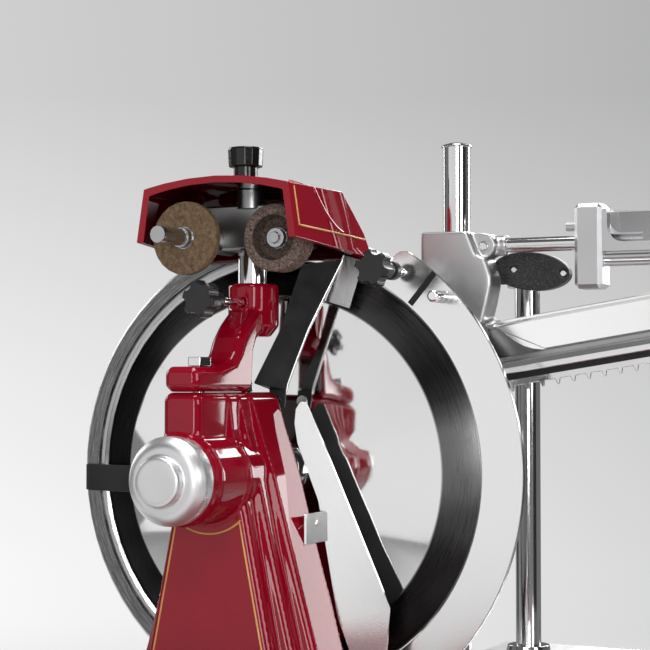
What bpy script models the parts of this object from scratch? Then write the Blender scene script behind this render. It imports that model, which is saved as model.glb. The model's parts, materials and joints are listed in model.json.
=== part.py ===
"""Hand cranked flywheel meat slicer, built piece by piece in metres, with +Z up.

The operator stands at -Y. The blade turns about the Y direction and the carriage travels along X.
Heights marked "above the blade axis" are measured from the blade's centre line.
"""

import math

import bmesh
import bpy
from mathutils import Matrix, Vector

# Place of the blade's centre line and of the guard ring's front face in the world
MACHINE_X = -0.03025
MACHINE_Y = -0.0030

# Fits and roundness
SEAT_GAP = 0.0003
RUN_GAP = 0.0005
OVERRUN = 0.004
BIG_STEPS = 48
ROUND_STEPS = 24
WHEEL_STEPS = 28
ROD_STEPS = 20
CAVITY_STEPS = 10
LONG_HOLE_STEPS = 8
WINDOW_STEPS = 6
TAPER_STEPS = 4
SPOKE_STEPS = 2
SMALL_STEPS = 12
EDGE_ROUND = 0.0015
CAST_ROUND = 0.004

# Base casting
BASE_LEFT = -0.200
BASE_RIGHT = 0.340
BASE_FRONT = -0.175
BASE_REAR = 0.275
BASE_WALL = 0.008
BASE_FLARE = 0.018
BASE_CORNER = 0.045
BASE_SKIRT_HEIGHT = 0.055
DECK_HEIGHT = 0.280
DECK_ROUND = 0.014
CORNER_STEPS = 5
FOOT_HEIGHT = 0.025
FOOT_RADIUS = 0.020
FOOT_INSET = 0.022
FOOT_PAD_RADIUS = 0.026
FOOT_PAD_THICKNESS = 0.008

# Flywheel shaft and the train behind it
FLYWHEEL_X = 0.150
FLYWHEEL_DROP = 0.085
FLYWHEEL_HEIGHT = DECK_HEIGHT - FLYWHEEL_DROP
FLYWHEEL_FLOOR_ROOM = 0.015
FLYWHEEL_RADIUS = FLYWHEEL_HEIGHT - FLYWHEEL_FLOOR_ROOM
RIM_DEPTH = 0.026
RIM_FRONT = -0.247
RIM_REAR = -0.217
SPOKES = 6
SPOKE_WIDTH = 0.018
SPOKE_THICKNESS = 0.012
HUB_RADIUS = 0.030
HUB_FRONT = -0.253
HUB_REAR = -0.1915
SHAFT_RADIUS = 0.011
SHAFT_END_NUT_RADIUS = 0.017
SHAFT_END_NUT_FRONT = -0.262
BOSS_RADIUS = 0.032
BOSS_FRONT = -0.190
BOSS_REAR = -0.150
BUSH_WALL = 0.005
MODULE = 0.003
GEAR_TEETH = 36
PINION_TEETH = 12
GEAR_FRONT = -0.112
GEAR_REAR = -0.100
GEAR_HUB_RADIUS = 0.020
GEAR_HUB_REAR = -0.088
TOOTH_ADDENDUM_SHARE = 0.75
TOOTH_DEDENDUM_SHARE = 1.05
TOOTH_ROOT_SHARE = 0.56
TOOTH_TIP_SHARE = 0.26
IDLER_RADIUS = 0.008
IDLER_FRONT = -0.1600
IDLER_BOSS_RADIUS = 0.016
IDLER_REAR = -0.0485
RIB_FRONT = -0.062
RIB_REAR = -0.050
RIB_LEFT = 0.052
RIB_RIGHT = 0.190

# Chain drive
SPROCKET_RADIUS = 0.0176
SPROCKET_TEETH = 12
SPROCKET_TOOTH = 0.0022
CHAIN_INNER = 0.0180
CHAIN_THICKNESS = 0.0050
CHAIN_FRONT = -0.0760
CHAIN_REAR = -0.0680
CHAIN_END_STEPS = 14
CHAIN_ROOM = 0.0020
SPROCKET_INSET = 0.0010

# Crank, swing arm and its pin
CRANK_THROW = 0.065
CRANK_REST_ANGLE = math.radians(-30)
CRANK_FRONT = -0.042
CRANK_REAR = -0.031
CRANK_HUB_RADIUS = 0.020
CRANK_WEB_SHARE = 0.9
CRANK_PIN_RADIUS = 0.007
CRANK_PIN_SEAT_RADIUS = 0.012
CRANK_PIN_REAR = -0.018
SWING_PIVOT_DROP = 0.215
SWING_PIVOT_HEIGHT = DECK_HEIGHT - SWING_PIVOT_DROP
SWING_LENGTH = 0.220
SWING_REST_ANGLE = math.radians(30)
SWING_FRONT = -0.014
SWING_REAR = -0.006
SWING_HUB_RADIUS = 0.015
RIB_BOTTOM = SWING_PIVOT_HEIGHT - SWING_HUB_RADIUS
SWING_END_RADIUS = 0.009
SWING_SLOT_RADIUS = 0.0076
SWING_SLOT_NEAR = 0.050
SWING_SLOT_END_ROOM = 0.040
SWING_SLOT_FAR = SWING_LENGTH - SWING_SLOT_END_ROOM
SWING_CHEEK = 0.005
SWING_PIN_RADIUS = 0.007
SWING_PIN_HEAD_RADIUS = 0.012
SWING_PIN_HEAD = 0.004
SWING_TIP_PIN_RADIUS = 0.004
SWING_TIP_PIN_REAR = 0.010

# Crank handle
HANDLE_INSET = 0.014
HANDLE_THROW = FLYWHEEL_RADIUS - HANDLE_INSET
HANDLE_ANGLE = math.radians(-62)
SPINDLE_RADIUS = 0.0055
SPINDLE_FRONT = -0.350
SPINDLE_HEAD_RADIUS = 0.009
SPINDLE_HEAD = 0.005
SPINDLE_COLLAR_RADIUS = 0.010
SPINDLE_COLLAR = 0.006
GRIP_RADIUS = 0.0165
GRIP_SHOULDER_SHARE = 0.96
GRIP_LIP_SHARE = 1 / 12
GRIP_WAIST_RADIUS = 0.0125
GRIP_END_RADIUS = 0.0115

# Column, barrel and flange
COLUMN_FRONT = -0.1495
COLUMN_STEP_BACK = 0.014
COLUMN_REAR = -0.0364
BODY_FRONT = -0.0840
FIN_HALF_WIDTH = 0.014
FLANGE_SEAM = 0.0577
COLUMN_FOOT_HALF_WIDTH = 0.096
FLARE_HEIGHTS = (0.0577, 0.0330, 0.0000, -0.0450, -0.1200, -0.1950)
FLARE_HALF_WIDTHS = (0.0150, 0.0225, 0.0340, 0.0460, 0.0670, 0.0900)
FLUTE_SHARES = (0.86, 0.72)
BARREL_RADIUS = 0.030
BARREL_FRONT = -0.1551
BARREL_BEAD = 0.0016
BARREL_BEAD_WIDTH = 0.005
BARREL_BEAD_PLACES = (-0.1459, -0.1071)
BARREL_BORE = 0.0150
BEARING_WALL = 0.0045
BEARING_FRONT = -0.1535
BEARING_REAR = -0.1160
CAVITY_FRONT = -0.0810
CAVITY_REAR = -0.0630
REAR_COVER_THICKNESS = 0.003
REAR_COVER_LAP = 0.005
REAR_COVER_TOP = -0.062
REAR_COVER_BOTTOM = -0.170
WINDOW_RADIUS = 0.014

# Hub cap
CAP_FRONT = -0.1797
CAP_RIM_FRONT = -0.1651
CAP_REAR = -0.1556
CAP_RADIUS = 0.0294
CAP_BOSS_RADIUS = 0.0163
CAP_FACE_SHARE = 0.7
CAP_GROOVE_RADIUS = 0.0190
CAP_GROOVE_FRONT = -0.1722
CAP_SHOULDER_RADIUS = 0.0250
CAP_SHOULDER_FRONT = -0.1700
CAP_BORE = 0.0125
CAP_BORE_DEPTH = 0.0120

# Blade and its shaft
BLADE_RADIUS = 0.1540
BLADE_BEVEL_WIDTH = 0.0270
BLADE_BEVEL_RADIUS = BLADE_RADIUS - BLADE_BEVEL_WIDTH
BLADE_BEVEL_FRONT = -0.0075
BLADE_EDGE_FRONT = 0.0026
BLADE_EDGE_LAND = 0.0008
BLADE_CENTRE_RADIUS = 0.045
BLADE_CENTRE_FRONT = -0.0125
BLADE_THICKNESS = 0.0045
BLADE_SHAFT_RADIUS = 0.010
BLADE_SHAFT_FRONT = -0.1640
BLADE_FLANGE_RADIUS = 0.024
BLADE_FLANGE_FRONT = -0.0230
BLADE_NUT_RADIUS = 0.020
BLADE_NUT = 0.006
SHAFT_STEP = 0.0015

# Guard ring, plate, clip arm
BLADE_ROOM = 0.0015
RING_INNER = BLADE_RADIUS + BLADE_ROOM
RING_WIDTH = 0.0182
RING_OUTER = RING_INNER + RING_WIDTH
RING_DECK_ROOM = 0.0463
AXIS_HEIGHT = DECK_HEIGHT + RING_OUTER + RING_DECK_ROOM
RING_DEPTH = 0.016
RING_GROOVE_INSET = 0.0027
RING_GROOVE_INNER = RING_INNER + RING_GROOVE_INSET
RING_GROOVE_WIDTH = 0.0024
RING_GROOVE_DEPTH = 0.0020
RING_EDGE = 0.0030
RING_START = math.radians(52)
RING_END = math.radians(300)
RING_STEPS = 44
RING_FOOT_LEFT = -0.045
RING_FOOT_RIGHT = -0.008
PLATE_INNER = RING_INNER
PLATE_WIDTH = 0.0305
PLATE_OUTER = PLATE_INNER + PLATE_WIDTH
PLATE_THICKNESS = 0.0040
PLATE_START = math.radians(-66)
PLATE_END = math.radians(57.0)
PLATE_STEPS = 30
PLATE_CORNER = 0.0085
PLATE_INNER_CORNER = 0.0030
PLATE_INNER_CORNER_STEPS = 2
STUD_ANGLE = math.radians(44.1)
STUD_INSET = 0.0226
STUD_CENTRE_RADIUS = PLATE_INNER + STUD_INSET
STUD_RADIUS = 0.0043
STUD_LENGTH = 0.0220
ARM_HALF_HEIGHT = 0.0100
ARM_DROP = 0.0080
ARM_THICKNESS = 0.0052
ARM_TIP_STEP = 0.0076
ARM_TIP_FRONT = -0.0060
ARM_BEND_X = -0.1220
ARM_BEND_REAR = -0.0105
ARM_PAD_INNER = 0.0130
ARM_ROOT_FRONT = -0.0640
ARM_ROOT_REAR = -0.0560
ARM_ROOT_LENGTH = 0.0240

# Star knobs
KNOB_RADIUS = 0.0128
KNOB_LOBES = 6
KNOB_LOBE_SHARE = 0.24
KNOB_LENGTH = 0.0170
KNOB_HUB_RADIUS = 0.0060
KNOB_CORNER_ANGLE = math.radians(60)
KNOB_HUB = 0.0120
KNOB_POINTS = 36
SCREW_RADIUS = 0.0028
GUARD_KNOB_ANGLE = math.radians(56.4)
GUARD_KNOB_INSET = 0.0156
GUARD_KNOB_CENTRE_RADIUS = RING_INNER + GUARD_KNOB_INSET
GUARD_KNOB_FRONT = -0.0550
GUARD_SCREW_DEPTH = 0.0100
POST_KNOB_FRONT = -0.1270

# Sharpener bracket
BRACKET_HALF_WIDTH = 0.0130
BRACKET_BLOCK_TOP = 0.0748
BRACKET_REAR = -0.0702
BRACKET_FRONT_DEPTHS = (-0.1160, -0.0980, -0.0912, -0.0865, -0.0765, -0.0600)
BRACKET_FRONT_SHARES = (0.0, 0.071, 0.189, 0.341, 0.522, 0.730)
BRACKET_REAR_DEPTHS = (-0.0450, -0.0450, -0.0555, -0.0640, -0.0682)
BRACKET_REAR_SHARES = (0.730, 0.459, 0.392, 0.299, 0.172)
COLLAR_RADIUS = 0.0180
COLLAR_FOOT_SHARE = 1.5
STONE_OVER_EDGE = 0.0102
STONE_HEIGHT = BLADE_RADIUS + STONE_OVER_EDGE
HEAD_DROP = 0.0062
HEAD_BOTTOM = STONE_HEIGHT - HEAD_DROP
POST_SHOWN = 0.0240
COLLAR_TOP = HEAD_BOTTOM - POST_SHOWN
COLLAR_LENGTH = 0.0295
COLLAR_BOTTOM = COLLAR_TOP - COLLAR_LENGTH
POST_KNOB_DROP = 0.0137
POST_KNOB_HEIGHT = COLLAR_TOP - POST_KNOB_DROP
BOLT_FRONT = -0.1233
BOLT_REAR = -0.0585
BOLT_HEAD_RADIUS = 0.0088
BOLT_HEAD = 0.0062
BOLT_RADIUS = 0.0045
BOLT_LENGTH = 0.0260
REAR_BOLT_HEAD_RADIUS = 0.0055
REAR_BOLT_RADIUS = 0.0030

# Sharpener
POST_Y = -0.0473
POST_RADIUS = 0.0110
POST_SHOULDER = 0.0015
POST_BOTTOM = COLLAR_BOTTOM + POST_SHOULDER
HEAD_DEPTH = 0.0320
HEAD_TOP = HEAD_BOTTOM + HEAD_DEPTH
HEAD_LEFT = -0.0400
HEAD_RIGHT = 0.0420
HEAD_FRONT = -0.0560
HEAD_REAR = -0.0300
HEAD_BOSS_RADIUS = 0.0100
HEAD_BOSS_GAP = 0.0006
FLAT_STONE_X = -0.0275
FLAT_STONE_RADIUS = 0.0256
FLAT_STONE_FRONT = -0.0973
FLAT_STONE_THICKNESS = 0.0060
PUSH_PIN_RADIUS = 0.0060
PUSH_PIN_FRONT = -0.1330
PUSH_NUT_RADIUS = 0.0072
PUSH_NUT = 0.0055
SPINDLE_SHAFT_RADIUS = 0.0040
SPINDLE_SHAFT_REAR = -0.0240
SPINDLE_BOSS_RADIUS = 0.0085
SPINDLE_BOSS_FRONT = -0.0820
CUP_STONE_X = 0.0305
CUP_STONE_RADIUS = 0.0236
CUP_STONE_FRONT = -0.0765
CUP_STONE_DEPTH = 0.0180
CUP_RECESS_RADIUS = 0.0160
CUP_RECESS_DEPTH = 0.0090
CUP_NUT_RADIUS = 0.0070
CUP_NUT = 0.0050
CUP_STEM = 0.0025
COVER_FRONT = -0.1038
COVER_MIDDLE = -0.0310
COVER_REAR = -0.0020
COVER_WALL = 0.0048
COVER_TOP_HALF_SHARES = (1.0, 1.09, 1.16)
COVER_HALF_TOP = 0.0566
COVER_HALF_BOTTOM = 0.0623
COVER_SHOULDER_LIFTS = (0.0343, 0.0343, 0.0058)
COVER_CROWN = 0.0070
COVER_BOTTOM_DROPS = (0.0027, 0.0082, 0.0117)
COVER_ARCH_STEPS = 8
COVER_KNOB_Y = -0.0604
COVER_KNOB_RADIUS = 0.0127
COVER_KNOB_LOBES = 7
COVER_KNOB_POINTS = 28
COVER_KNOB_LIFT = 0.0513
COVER_KNOB_HEAD_BOTTOM = STONE_HEIGHT + COVER_KNOB_LIFT
COVER_KNOB_LENGTH = 0.0140
COVER_KNOB_TOP = COVER_KNOB_HEAD_BOTTOM + COVER_KNOB_LENGTH
COVER_KNOB_NECK_RADIUS = 0.0084

# Slice deflectors
DEFLECTOR_THICKNESS = 0.0018
UPPER_DEFLECTOR_RIGHT = (
    (0.0178, -0.0334, 0.0465), (0.0188, -0.0333, 0.0600), (0.0196, -0.0331, 0.0630), (0.0330, -0.0280, 0.1014),
    (0.0545, -0.0160, 0.1515),
)
UPPER_DEFLECTOR_LEFT = (
    (0.0062, -0.0346, 0.0465), (0.0062, -0.0346, 0.0600), (0.0018, -0.0500, 0.0640), (0.0194, -0.0440, 0.1012),
    (0.0330, -0.0370, 0.1480),
)
DEFLECTOR_PIN_X = 0.0120
DEFLECTOR_PIN_HEIGHT = 0.0520
DEFLECTOR_PIN_RADIUS = 0.0026
DEFLECTOR_PIN_HEAD_RADIUS = 0.0045
DEFLECTOR_PIN_HEAD = 0.0020
DEFLECTOR_PIN_HEAD_FRONT = -0.0312
DEFLECTOR_PIN_DEPTH = 0.0080
LOWER_DEFLECTOR_FRONT = -0.0270
LOWER_DEFLECTOR_OUTLINE = (
    (0.0221, 0.0353), (0.0232, 0.0455), (0.0270, 0.0508), (0.0320, 0.0500), (0.0538, 0.0024), (0.0755, -0.0454),
    (0.0966, -0.0920), (0.0930, -0.1280), (0.0700, -0.1340), (0.0560, -0.1000), (0.0464, -0.0480), (0.0410, -0.0190),
    (0.0245, 0.0211),
)
FLANGE_LEFT = 0.0466
FLANGE_FRONT = -0.0600
FLANGE_TOP = -0.0262
FLANGE_BOTTOM = -0.0470
FLANGE_SCREW_Y = -0.0434
FLANGE_SCREW_HEIGHT = -0.0336
FLANGE_SCREW_RADIUS = 0.0022
FLANGE_SCREW_LEFT = 0.0350

# Rails and carriage
RAIL_RADIUS = 0.008
RAIL_LIFT = 0.022
RAIL_HEIGHT = DECK_HEIGHT + RAIL_LIFT
FRONT_RAIL_Y = 0.060
REAR_RAIL_Y = 0.225
RAIL_LEFT = -0.192
RAIL_RIGHT = 0.333
RAIL_BRACKET_LEFT = -0.190
RAIL_BRACKET_RIGHT = 0.331
RAIL_BRACKET_WIDTH = 0.016
RAIL_BRACKET_CROWN = 0.0105
RAIL_BRACKET_TOP = RAIL_HEIGHT + RAIL_BRACKET_CROWN
RAIL_BRACKET_MARGIN = 0.015
CARRIAGE_LEFT = 0.086
CARRIAGE_RIGHT = 0.384
CARRIAGE_FRONT = 0.036
CARRIAGE_REAR = 0.248
CARRIAGE_LIFT = 0.014
CARRIAGE_BOTTOM = RAIL_HEIGHT + CARRIAGE_LIFT
CARRIAGE_THICKNESS = 0.008
CARRIAGE_TOP = CARRIAGE_BOTTOM + CARRIAGE_THICKNESS
BEARING_LEFT_X = 0.105
BEARING_RIGHT_X = 0.285
BEARING_LENGTH = 0.030
BEARING_HALF_WIDTH = 0.014
BEARING_DROP = 0.012
BEARING_BOTTOM = RAIL_HEIGHT - BEARING_DROP
STRIP_WIDTH = 0.012
STRIP_INSET = 0.006
LEAD_SCREW_LIFT = 0.009
LEAD_SCREW_HEIGHT = CARRIAGE_TOP + LEAD_SCREW_LIFT
TABLE_LIFT = 0.009
TABLE_BOTTOM = LEAD_SCREW_HEIGHT + TABLE_LIFT
TABLE_THICKNESS = 0.008
TABLE_TOP = TABLE_BOTTOM + TABLE_THICKNESS
TABLE_FRONT = 0.022
TABLE_REAR = 0.250
TABLE_SKIRT = 0.006
TABLE_SKIRT_LIFT = 0.002
TABLE_SKIRT_BOTTOM = CARRIAGE_BOTTOM + TABLE_SKIRT_LIFT
TABLE_TRAVEL = 0.080
DRIVE_BRACKET_THICKNESS = 0.008
DRIVE_BRACKET_FRONT = 0.001
DRIVE_BRACKET_HALF_WIDTH = 0.018
DRIVE_BRACKET_DROP = 0.004
DRIVE_BRACKET_TOP = CARRIAGE_BOTTOM - DRIVE_BRACKET_DROP
DRIVE_SLOT_HALF_WIDTH = 0.0085
DRIVE_SLOT_DROP = 0.014
DRIVE_SLOT_TOP = DRIVE_BRACKET_TOP - DRIVE_SLOT_DROP
DRIVE_SLOT_LENGTH = 0.050
DRIVE_SLOT_BOTTOM = DRIVE_SLOT_TOP - DRIVE_SLOT_LENGTH
DRIVE_SLOT_LAND = 0.006
DRIVE_BRACKET_BOTTOM = DRIVE_SLOT_BOTTOM - DRIVE_SLOT_LAND
DECK_SLOT_LEFT = 0.018
DECK_SLOT_RIGHT = 0.284
DECK_SLOT_FRONT = -0.020
DECK_SLOT_REAR = 0.016
LEAD_SCREW_X = 0.235
LEAD_SCREW_RADIUS = 0.005
LEAD_SCREW_FRONT = 0.037
LEAD_SCREW_REAR = 0.356
SCREW_BLOCK_HALF_WIDTH = 0.012
SCREW_BLOCK_ROOM = 0.0012
SCREW_BLOCK_TOP = TABLE_BOTTOM - SCREW_BLOCK_ROOM
SCREW_BLOCK_LENGTH = 0.010
SCREW_TAIL_REAR = 0.334
NUT_FRONT = 0.066
NUT_REAR = 0.084
NUT_ROOM = 0.0015
NUT_BOTTOM = CARRIAGE_TOP + NUT_ROOM
HANDWHEEL_RADIUS = 0.024
HANDWHEEL_FRONT = 0.3360
HANDWHEEL_REAR = 0.3480
HANDWHEEL_HUB_RADIUS = 0.010
DIAL_X = 0.350
DIAL_DROP = 0.008
DIAL_HEIGHT = CARRIAGE_BOTTOM - DIAL_DROP
DIAL_RADIUS = 0.0150
DIAL_FRONT = 0.0170
DIAL_BOSS_HALF_WIDTH = 0.016
DIAL_BOSS_ROOM = 0.0010
DIAL_BOSS_REAR = FRONT_RAIL_Y - RAIL_BRACKET_MARGIN - DIAL_BOSS_ROOM
DIAL_BOSS_DROP = 0.013
DIAL_BOSS_BOTTOM = DIAL_HEIGHT - DIAL_BOSS_DROP
DIAL_SKIRT = 0.004
DIAL_GRIP_RADIUS = 0.0110

# Meat press
FRONT_COLUMN_X = 0.1157
FRONT_COLUMN_Y = 0.050
FRONT_COLUMN_TOP = 0.2390
REAR_COLUMN_X = 0.1172
REAR_COLUMN_Y = 0.197
REAR_COLUMN_TOP = 0.1620
PRESS_COLUMN_RADIUS = 0.010
COLUMN_CAP_OVERHANG = 0.0013
COLUMN_CAP_HEIGHT = 0.0030
COLUMN_FLANGE_RADIUS = 0.018
COLUMN_FLANGE = 0.006
SLEEVE_RADIUS = 0.0165
SLEEVE_BOTTOM = 0.1150
PRESS_TOP = 0.1735
PRESS_OUTLINE = (
    (0.0935, 0.1735), (0.1301, 0.1735), (0.1374, 0.1560), (0.1440, 0.1533), (0.1482, 0.1407), (0.1485, 0.1336),
    (0.1459, 0.1212), (0.1425, 0.1086), (0.1394, 0.1080), (0.1386, 0.1038), (0.1300, 0.1038), (0.1160, 0.1130),
    (0.1020, 0.1210), (0.0935, 0.1450),
)
PRESS_FRONT = 0.0330
PRESS_REAR = 0.0560
EAR_RIGHT = 0.1507
EAR_RADIUS = 0.0088
EAR_CENTRE_X = 0.1410
EAR_FRONT = 0.0385
EAR_REAR = 0.0585
SOCKET_RADIUS = 0.0076
SOCKET_LENGTH = 0.0052
ROD_HEIGHT = 0.1630
ROD_RADIUS = 0.0052
ROD_RIGHT = 0.2230
CROSSBAR_HALF_WIDTH = 0.006
CROSSBAR_BOTTOM = 0.1430
CROSSBAR_TOP = 0.1570
EYE_RADIUS = 0.0160
PRESS_ARM_LEFT = 0.1463
PRESS_ARM_LENGTH = 0.1750
PRESS_ARM_TILT = math.radians(9.0)
TONGUE_LEFT = 0.1300
TONGUE_RIGHT = 0.1500
TONGUE_FRONT = 0.0523
TONGUE_REAR = 0.0600
TONGUE_BOTTOM = 0.0850
TONGUE_TOP = 0.1095
PRESS_ARM_FOOT = 0.0677
PRESS_ARM_SECTION = (
    (0.0440, 0.0396), (0.0520, 0.0396), (0.0520, 0.0000), (0.0400, 0.0000), (0.0361, 0.0010), (0.0345, 0.0045),
    (0.0361, 0.0084), (0.0400, 0.0100), (0.0440, 0.0100), (0.0440, 0.0130), (0.0480, 0.0150), (0.0480, 0.0366),
    (0.0440, 0.0376),
)
RAMP_LENGTH = 0.0420
RAMP_LOW = 0.0140
RAMP_HIGH = 0.0385
RAMP_FRONT = 0.0445
RAMP_REAR = 0.0500
COMB_THICKNESS = 0.0016
COMB_DEPTH = 0.0080
COMB_TOOTH = 0.0042
COMB_PITCH = 0.0115
COMB_TEETH = 14
COMB_TIP = 0.0012
COMB_ROOT = 0.0040
COMB_REAR = 0.0460
END_BLOCK_LEFT = 0.2072
END_BLOCK_RIGHT = 0.2276
END_BLOCK_BOTTOM = 0.1302
END_BLOCK_TOP = 0.1903
END_BLOCK_FRONT = 0.0415
END_BLOCK_REAR = 0.0640
WING_RIGHT = 0.3060
WING_TOP = 0.1860
WING_BOTTOM = 0.1560
WING_DIP = 0.0020
WING_FRONT = 0.0440
WING_REAR = 0.0600
WING_DIP_STEPS = 6
UPPER_STAY_HEIGHT = 0.1528
LOWER_STAY_HEIGHT = 0.1478
STAY_RADIUS = 0.0021
SCOOP_LEFT = 0.2309
SCOOP_BOTTOM = 0.1625
SCOOP_REAR = 0.0520
SCOOP_CORNER = 0.0120
CLAMP_SCREW_RADIUS = 0.0032
CLAMP_SCREW_LENGTH = 0.0075
CLAMP_SCREW_HEIGHT = 0.1745
PAD_X = 0.1684
PAD_HEIGHT = 0.1450
PAD_HALF_LENGTH = 0.0295
PAD_HALF_HEIGHT = 0.0140
PAD_FRONT = 0.0648
PAD_REAR = 0.0733
PAD_POINTS = 24
PAD_TILT = math.radians(-6)
PAD_PIVOT_X = 0.1378
PAD_PIVOT_HEIGHT = 0.1400
PAD_NECK_HALF_HEIGHT = 0.0036
PAD_HUB_RADIUS = 0.0060

# Slice tray
TRAY_LEFT = -0.330
TRAY_RIGHT = -0.112
TRAY_FRONT = -0.300
TRAY_REAR = -0.032
TRAY_HEIGHT = 0.020
TRAY_WALL = 0.0018
TRAY_CORNER = 0.022
TRAY_DRAFT = 0.006

# Castings with so many crossing bores and bosses that only the manifold solver closes them
MANY_CUT_CASTINGS = ("base_casting", "column_casting", "press_bracket", "sharpener_bracket", "sharpener_head")

# Colours (linear), roughness and metallic value
FINISHES = {
    "red_enamel": ((0.230, 0.006, 0.014, 1.0), 0.12, 0.0),
    "polished_steel": ((0.800, 0.800, 0.800, 1.0), 0.10, 1.0),
    "mirror_blade": ((0.850, 0.850, 0.850, 1.0), 0.04, 1.0),
    "satin_aluminium": ((0.700, 0.700, 0.710, 1.0), 0.32, 1.0),
    "dark_steel": ((0.230, 0.230, 0.240, 1.0), 0.40, 1.0),
    "bronze": ((0.480, 0.300, 0.120, 1.0), 0.35, 1.0),
    "black_plastic": ((0.020, 0.020, 0.022, 1.0), 0.38, 0.0),
    "black_rubber": ((0.015, 0.015, 0.015, 1.0), 0.75, 0.0),
    "tan_stone": ((0.240, 0.160, 0.100, 1.0), 0.90, 0.0),
    "brown_stone": ((0.150, 0.095, 0.075, 1.0), 0.95, 0.0),
}


def clear_scene():
    """Removes every object of the scene."""
    for obj in list(bpy.data.objects):
        bpy.data.objects.remove(obj, do_unlink=True)


def finish(name):
    """Returns the material of that name, made on first use."""
    material = bpy.data.materials.get(name)
    if material:
        return material
    colour, roughness, metallic = FINISHES[name]
    material = bpy.data.materials.new(name)
    material.use_nodes = True
    shader = material.node_tree.nodes["Principled BSDF"]
    shader.inputs["Base Color"].default_value = colour
    shader.inputs["Roughness"].default_value = roughness
    shader.inputs["Metallic"].default_value = metallic
    material.diffuse_color = colour
    return material


def add_mesh(name, shape, look, smooth=True):
    """Makes an object of a bmesh, with its faces turned outward and its material set."""
    bmesh.ops.remove_doubles(shape, verts=shape.verts, dist=RUN_GAP / 100)
    bmesh.ops.recalc_face_normals(shape, faces=shape.faces)
    mesh = bpy.data.meshes.new(name)
    shape.to_mesh(mesh)
    shape.free()
    if smooth:
        mesh.shade_smooth()
    obj = bpy.data.objects.new(name, mesh)
    bpy.context.scene.collection.objects.link(obj)
    if look:
        obj.data.materials.append(finish(look))
    return obj


def axis_frame(axis, place):
    """Matrix whose local Z lies along the named world axis, at a place."""
    turns = {
        "Z": Matrix.Identity(4),
        "Y": Matrix(((1, 0, 0, 0), (0, 0, 1, 0), (0, -1, 0, 0), (0, 0, 0, 1))),
        "X": Matrix(((0, 0, 1, 0), (0, 1, 0, 0), (-1, 0, 0, 0), (0, 0, 0, 1))),
    }
    return Matrix.Translation(Vector(place)) @ turns[axis]


def turned(name, profile, look, axis="Y", place=(0, 0, 0), steps=ROUND_STEPS, ring=False, start=0, sweep=math.tau):
    """Spins a profile of (distance along the axis, radius) points. A ring's profile closes on itself."""
    shape = bmesh.new()
    verts = [shape.verts.new((radius, 0, along)) for along, radius in profile]
    for first, second in zip(verts, verts[1:]):
        shape.edges.new((first, second))
    if ring:
        shape.edges.new((verts[-1], verts[0]))
    whole = abs(sweep - math.tau) < 1e-6
    bmesh.ops.rotate(shape, verts=shape.verts, cent=(0, 0, 0), matrix=Matrix.Rotation(start, 3, "Z"))
    bmesh.ops.spin(
        shape, geom=shape.verts[:] + shape.edges[:], cent=(0, 0, 0), axis=(0, 0, 1), angle=sweep, steps=steps
    )
    if not whole:
        ends = [edge for edge in shape.edges if edge.is_boundary]
        bmesh.ops.edgenet_fill(shape, edges=ends)
    bmesh.ops.remove_doubles(shape, verts=shape.verts, dist=RUN_GAP / 100)
    bmesh.ops.transform(shape, matrix=axis_frame(axis, place), verts=shape.verts)
    return add_mesh(name, shape, look)


def plate(name, outline, look, plane="XZ", low=0, high=0, smooth=False):
    """Extrudes an outline of two coordinates between two places along the third axis."""
    orders = {"XZ": (0, 2, 1), "XY": (0, 1, 2), "YZ": (1, 2, 0)}
    first, second, normal = orders[plane]
    shape = bmesh.new()
    corners = []
    for a, b in outline:
        point = [0, 0, 0]
        point[first] = a
        point[second] = b
        point[normal] = low
        corners.append(shape.verts.new(point))
    face = shape.faces.new(corners)
    grown = bmesh.ops.extrude_face_region(shape, geom=[face])
    moved = [item for item in grown["geom"] if isinstance(item, bmesh.types.BMVert)]
    step = [0, 0, 0]
    step[normal] = high - low
    bmesh.ops.translate(shape, verts=moved, vec=step)
    return add_mesh(name, shape, look, smooth)


def block(name, low, high, look):
    """A box between two corners."""
    outline = [(low[0], low[1]), (high[0], low[1]), (high[0], high[1]), (low[0], high[1])]
    return plate(name, outline, look, "XY", low[2], high[2])


def lofted(name, sections, look, smooth=True):
    """Joins rings of equally many 3-D points, one after the other, and closes both ends."""
    shape = bmesh.new()
    rings = [[shape.verts.new(point) for point in section] for section in sections]
    count = len(rings[0])
    for near, far in zip(rings, rings[1:]):
        for i in range(count):
            j = (i + 1) % count
            shape.faces.new((near[i], near[j], far[j], far[i]))
    shape.faces.new(rings[0])
    shape.faces.new(rings[-1])
    return add_mesh(name, shape, look, smooth)


def rounded(obj, width, segments=1, angle=math.radians(35)):
    """Rounds the sharp edges of an object."""
    bevel = obj.modifiers.new("Rounding", "BEVEL")
    bevel.width = width
    bevel.segments = segments
    bevel.limit_method = "ANGLE"
    bevel.angle_limit = angle
    bevel.use_clamp_overlap = True
    return obj


def combine(obj, tool, operation):
    """Adds or cuts a tool object with a Boolean, and hides the tool."""
    modifier = obj.modifiers.new(tool.name, "BOOLEAN")
    modifier.operation = operation
    modifier.solver = "MANIFOLD" if obj.name in MANY_CUT_CASTINGS else "EXACT"
    modifier.object = tool
    tool.hide_render = True
    tool.display_type = "WIRE"
    return obj


def cut(obj, *tools):
    for tool in tools:
        combine(obj, tool, "DIFFERENCE")
    return obj


def add(obj, *tools):
    for tool in tools:
        combine(obj, tool, "UNION")
    return obj


def pin_tool(name, axis, place, radius, low, high, steps=ROUND_STEPS):
    """A plain cylinder along an axis, for a tool or a simple rod."""
    return turned(name, [(low, 0), (low, radius), (high, radius), (high, 0)], None, axis, place, steps)


def arc(centre, radius, start, end, steps):
    """Points on an arc from one angle to another."""
    return [
        (
            centre[0] + radius * math.cos(start + (end - start) * i / steps),
            centre[1] + radius * math.sin(start + (end - start) * i / steps),
        )
        for i in range(steps + 1)
    ]


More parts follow.
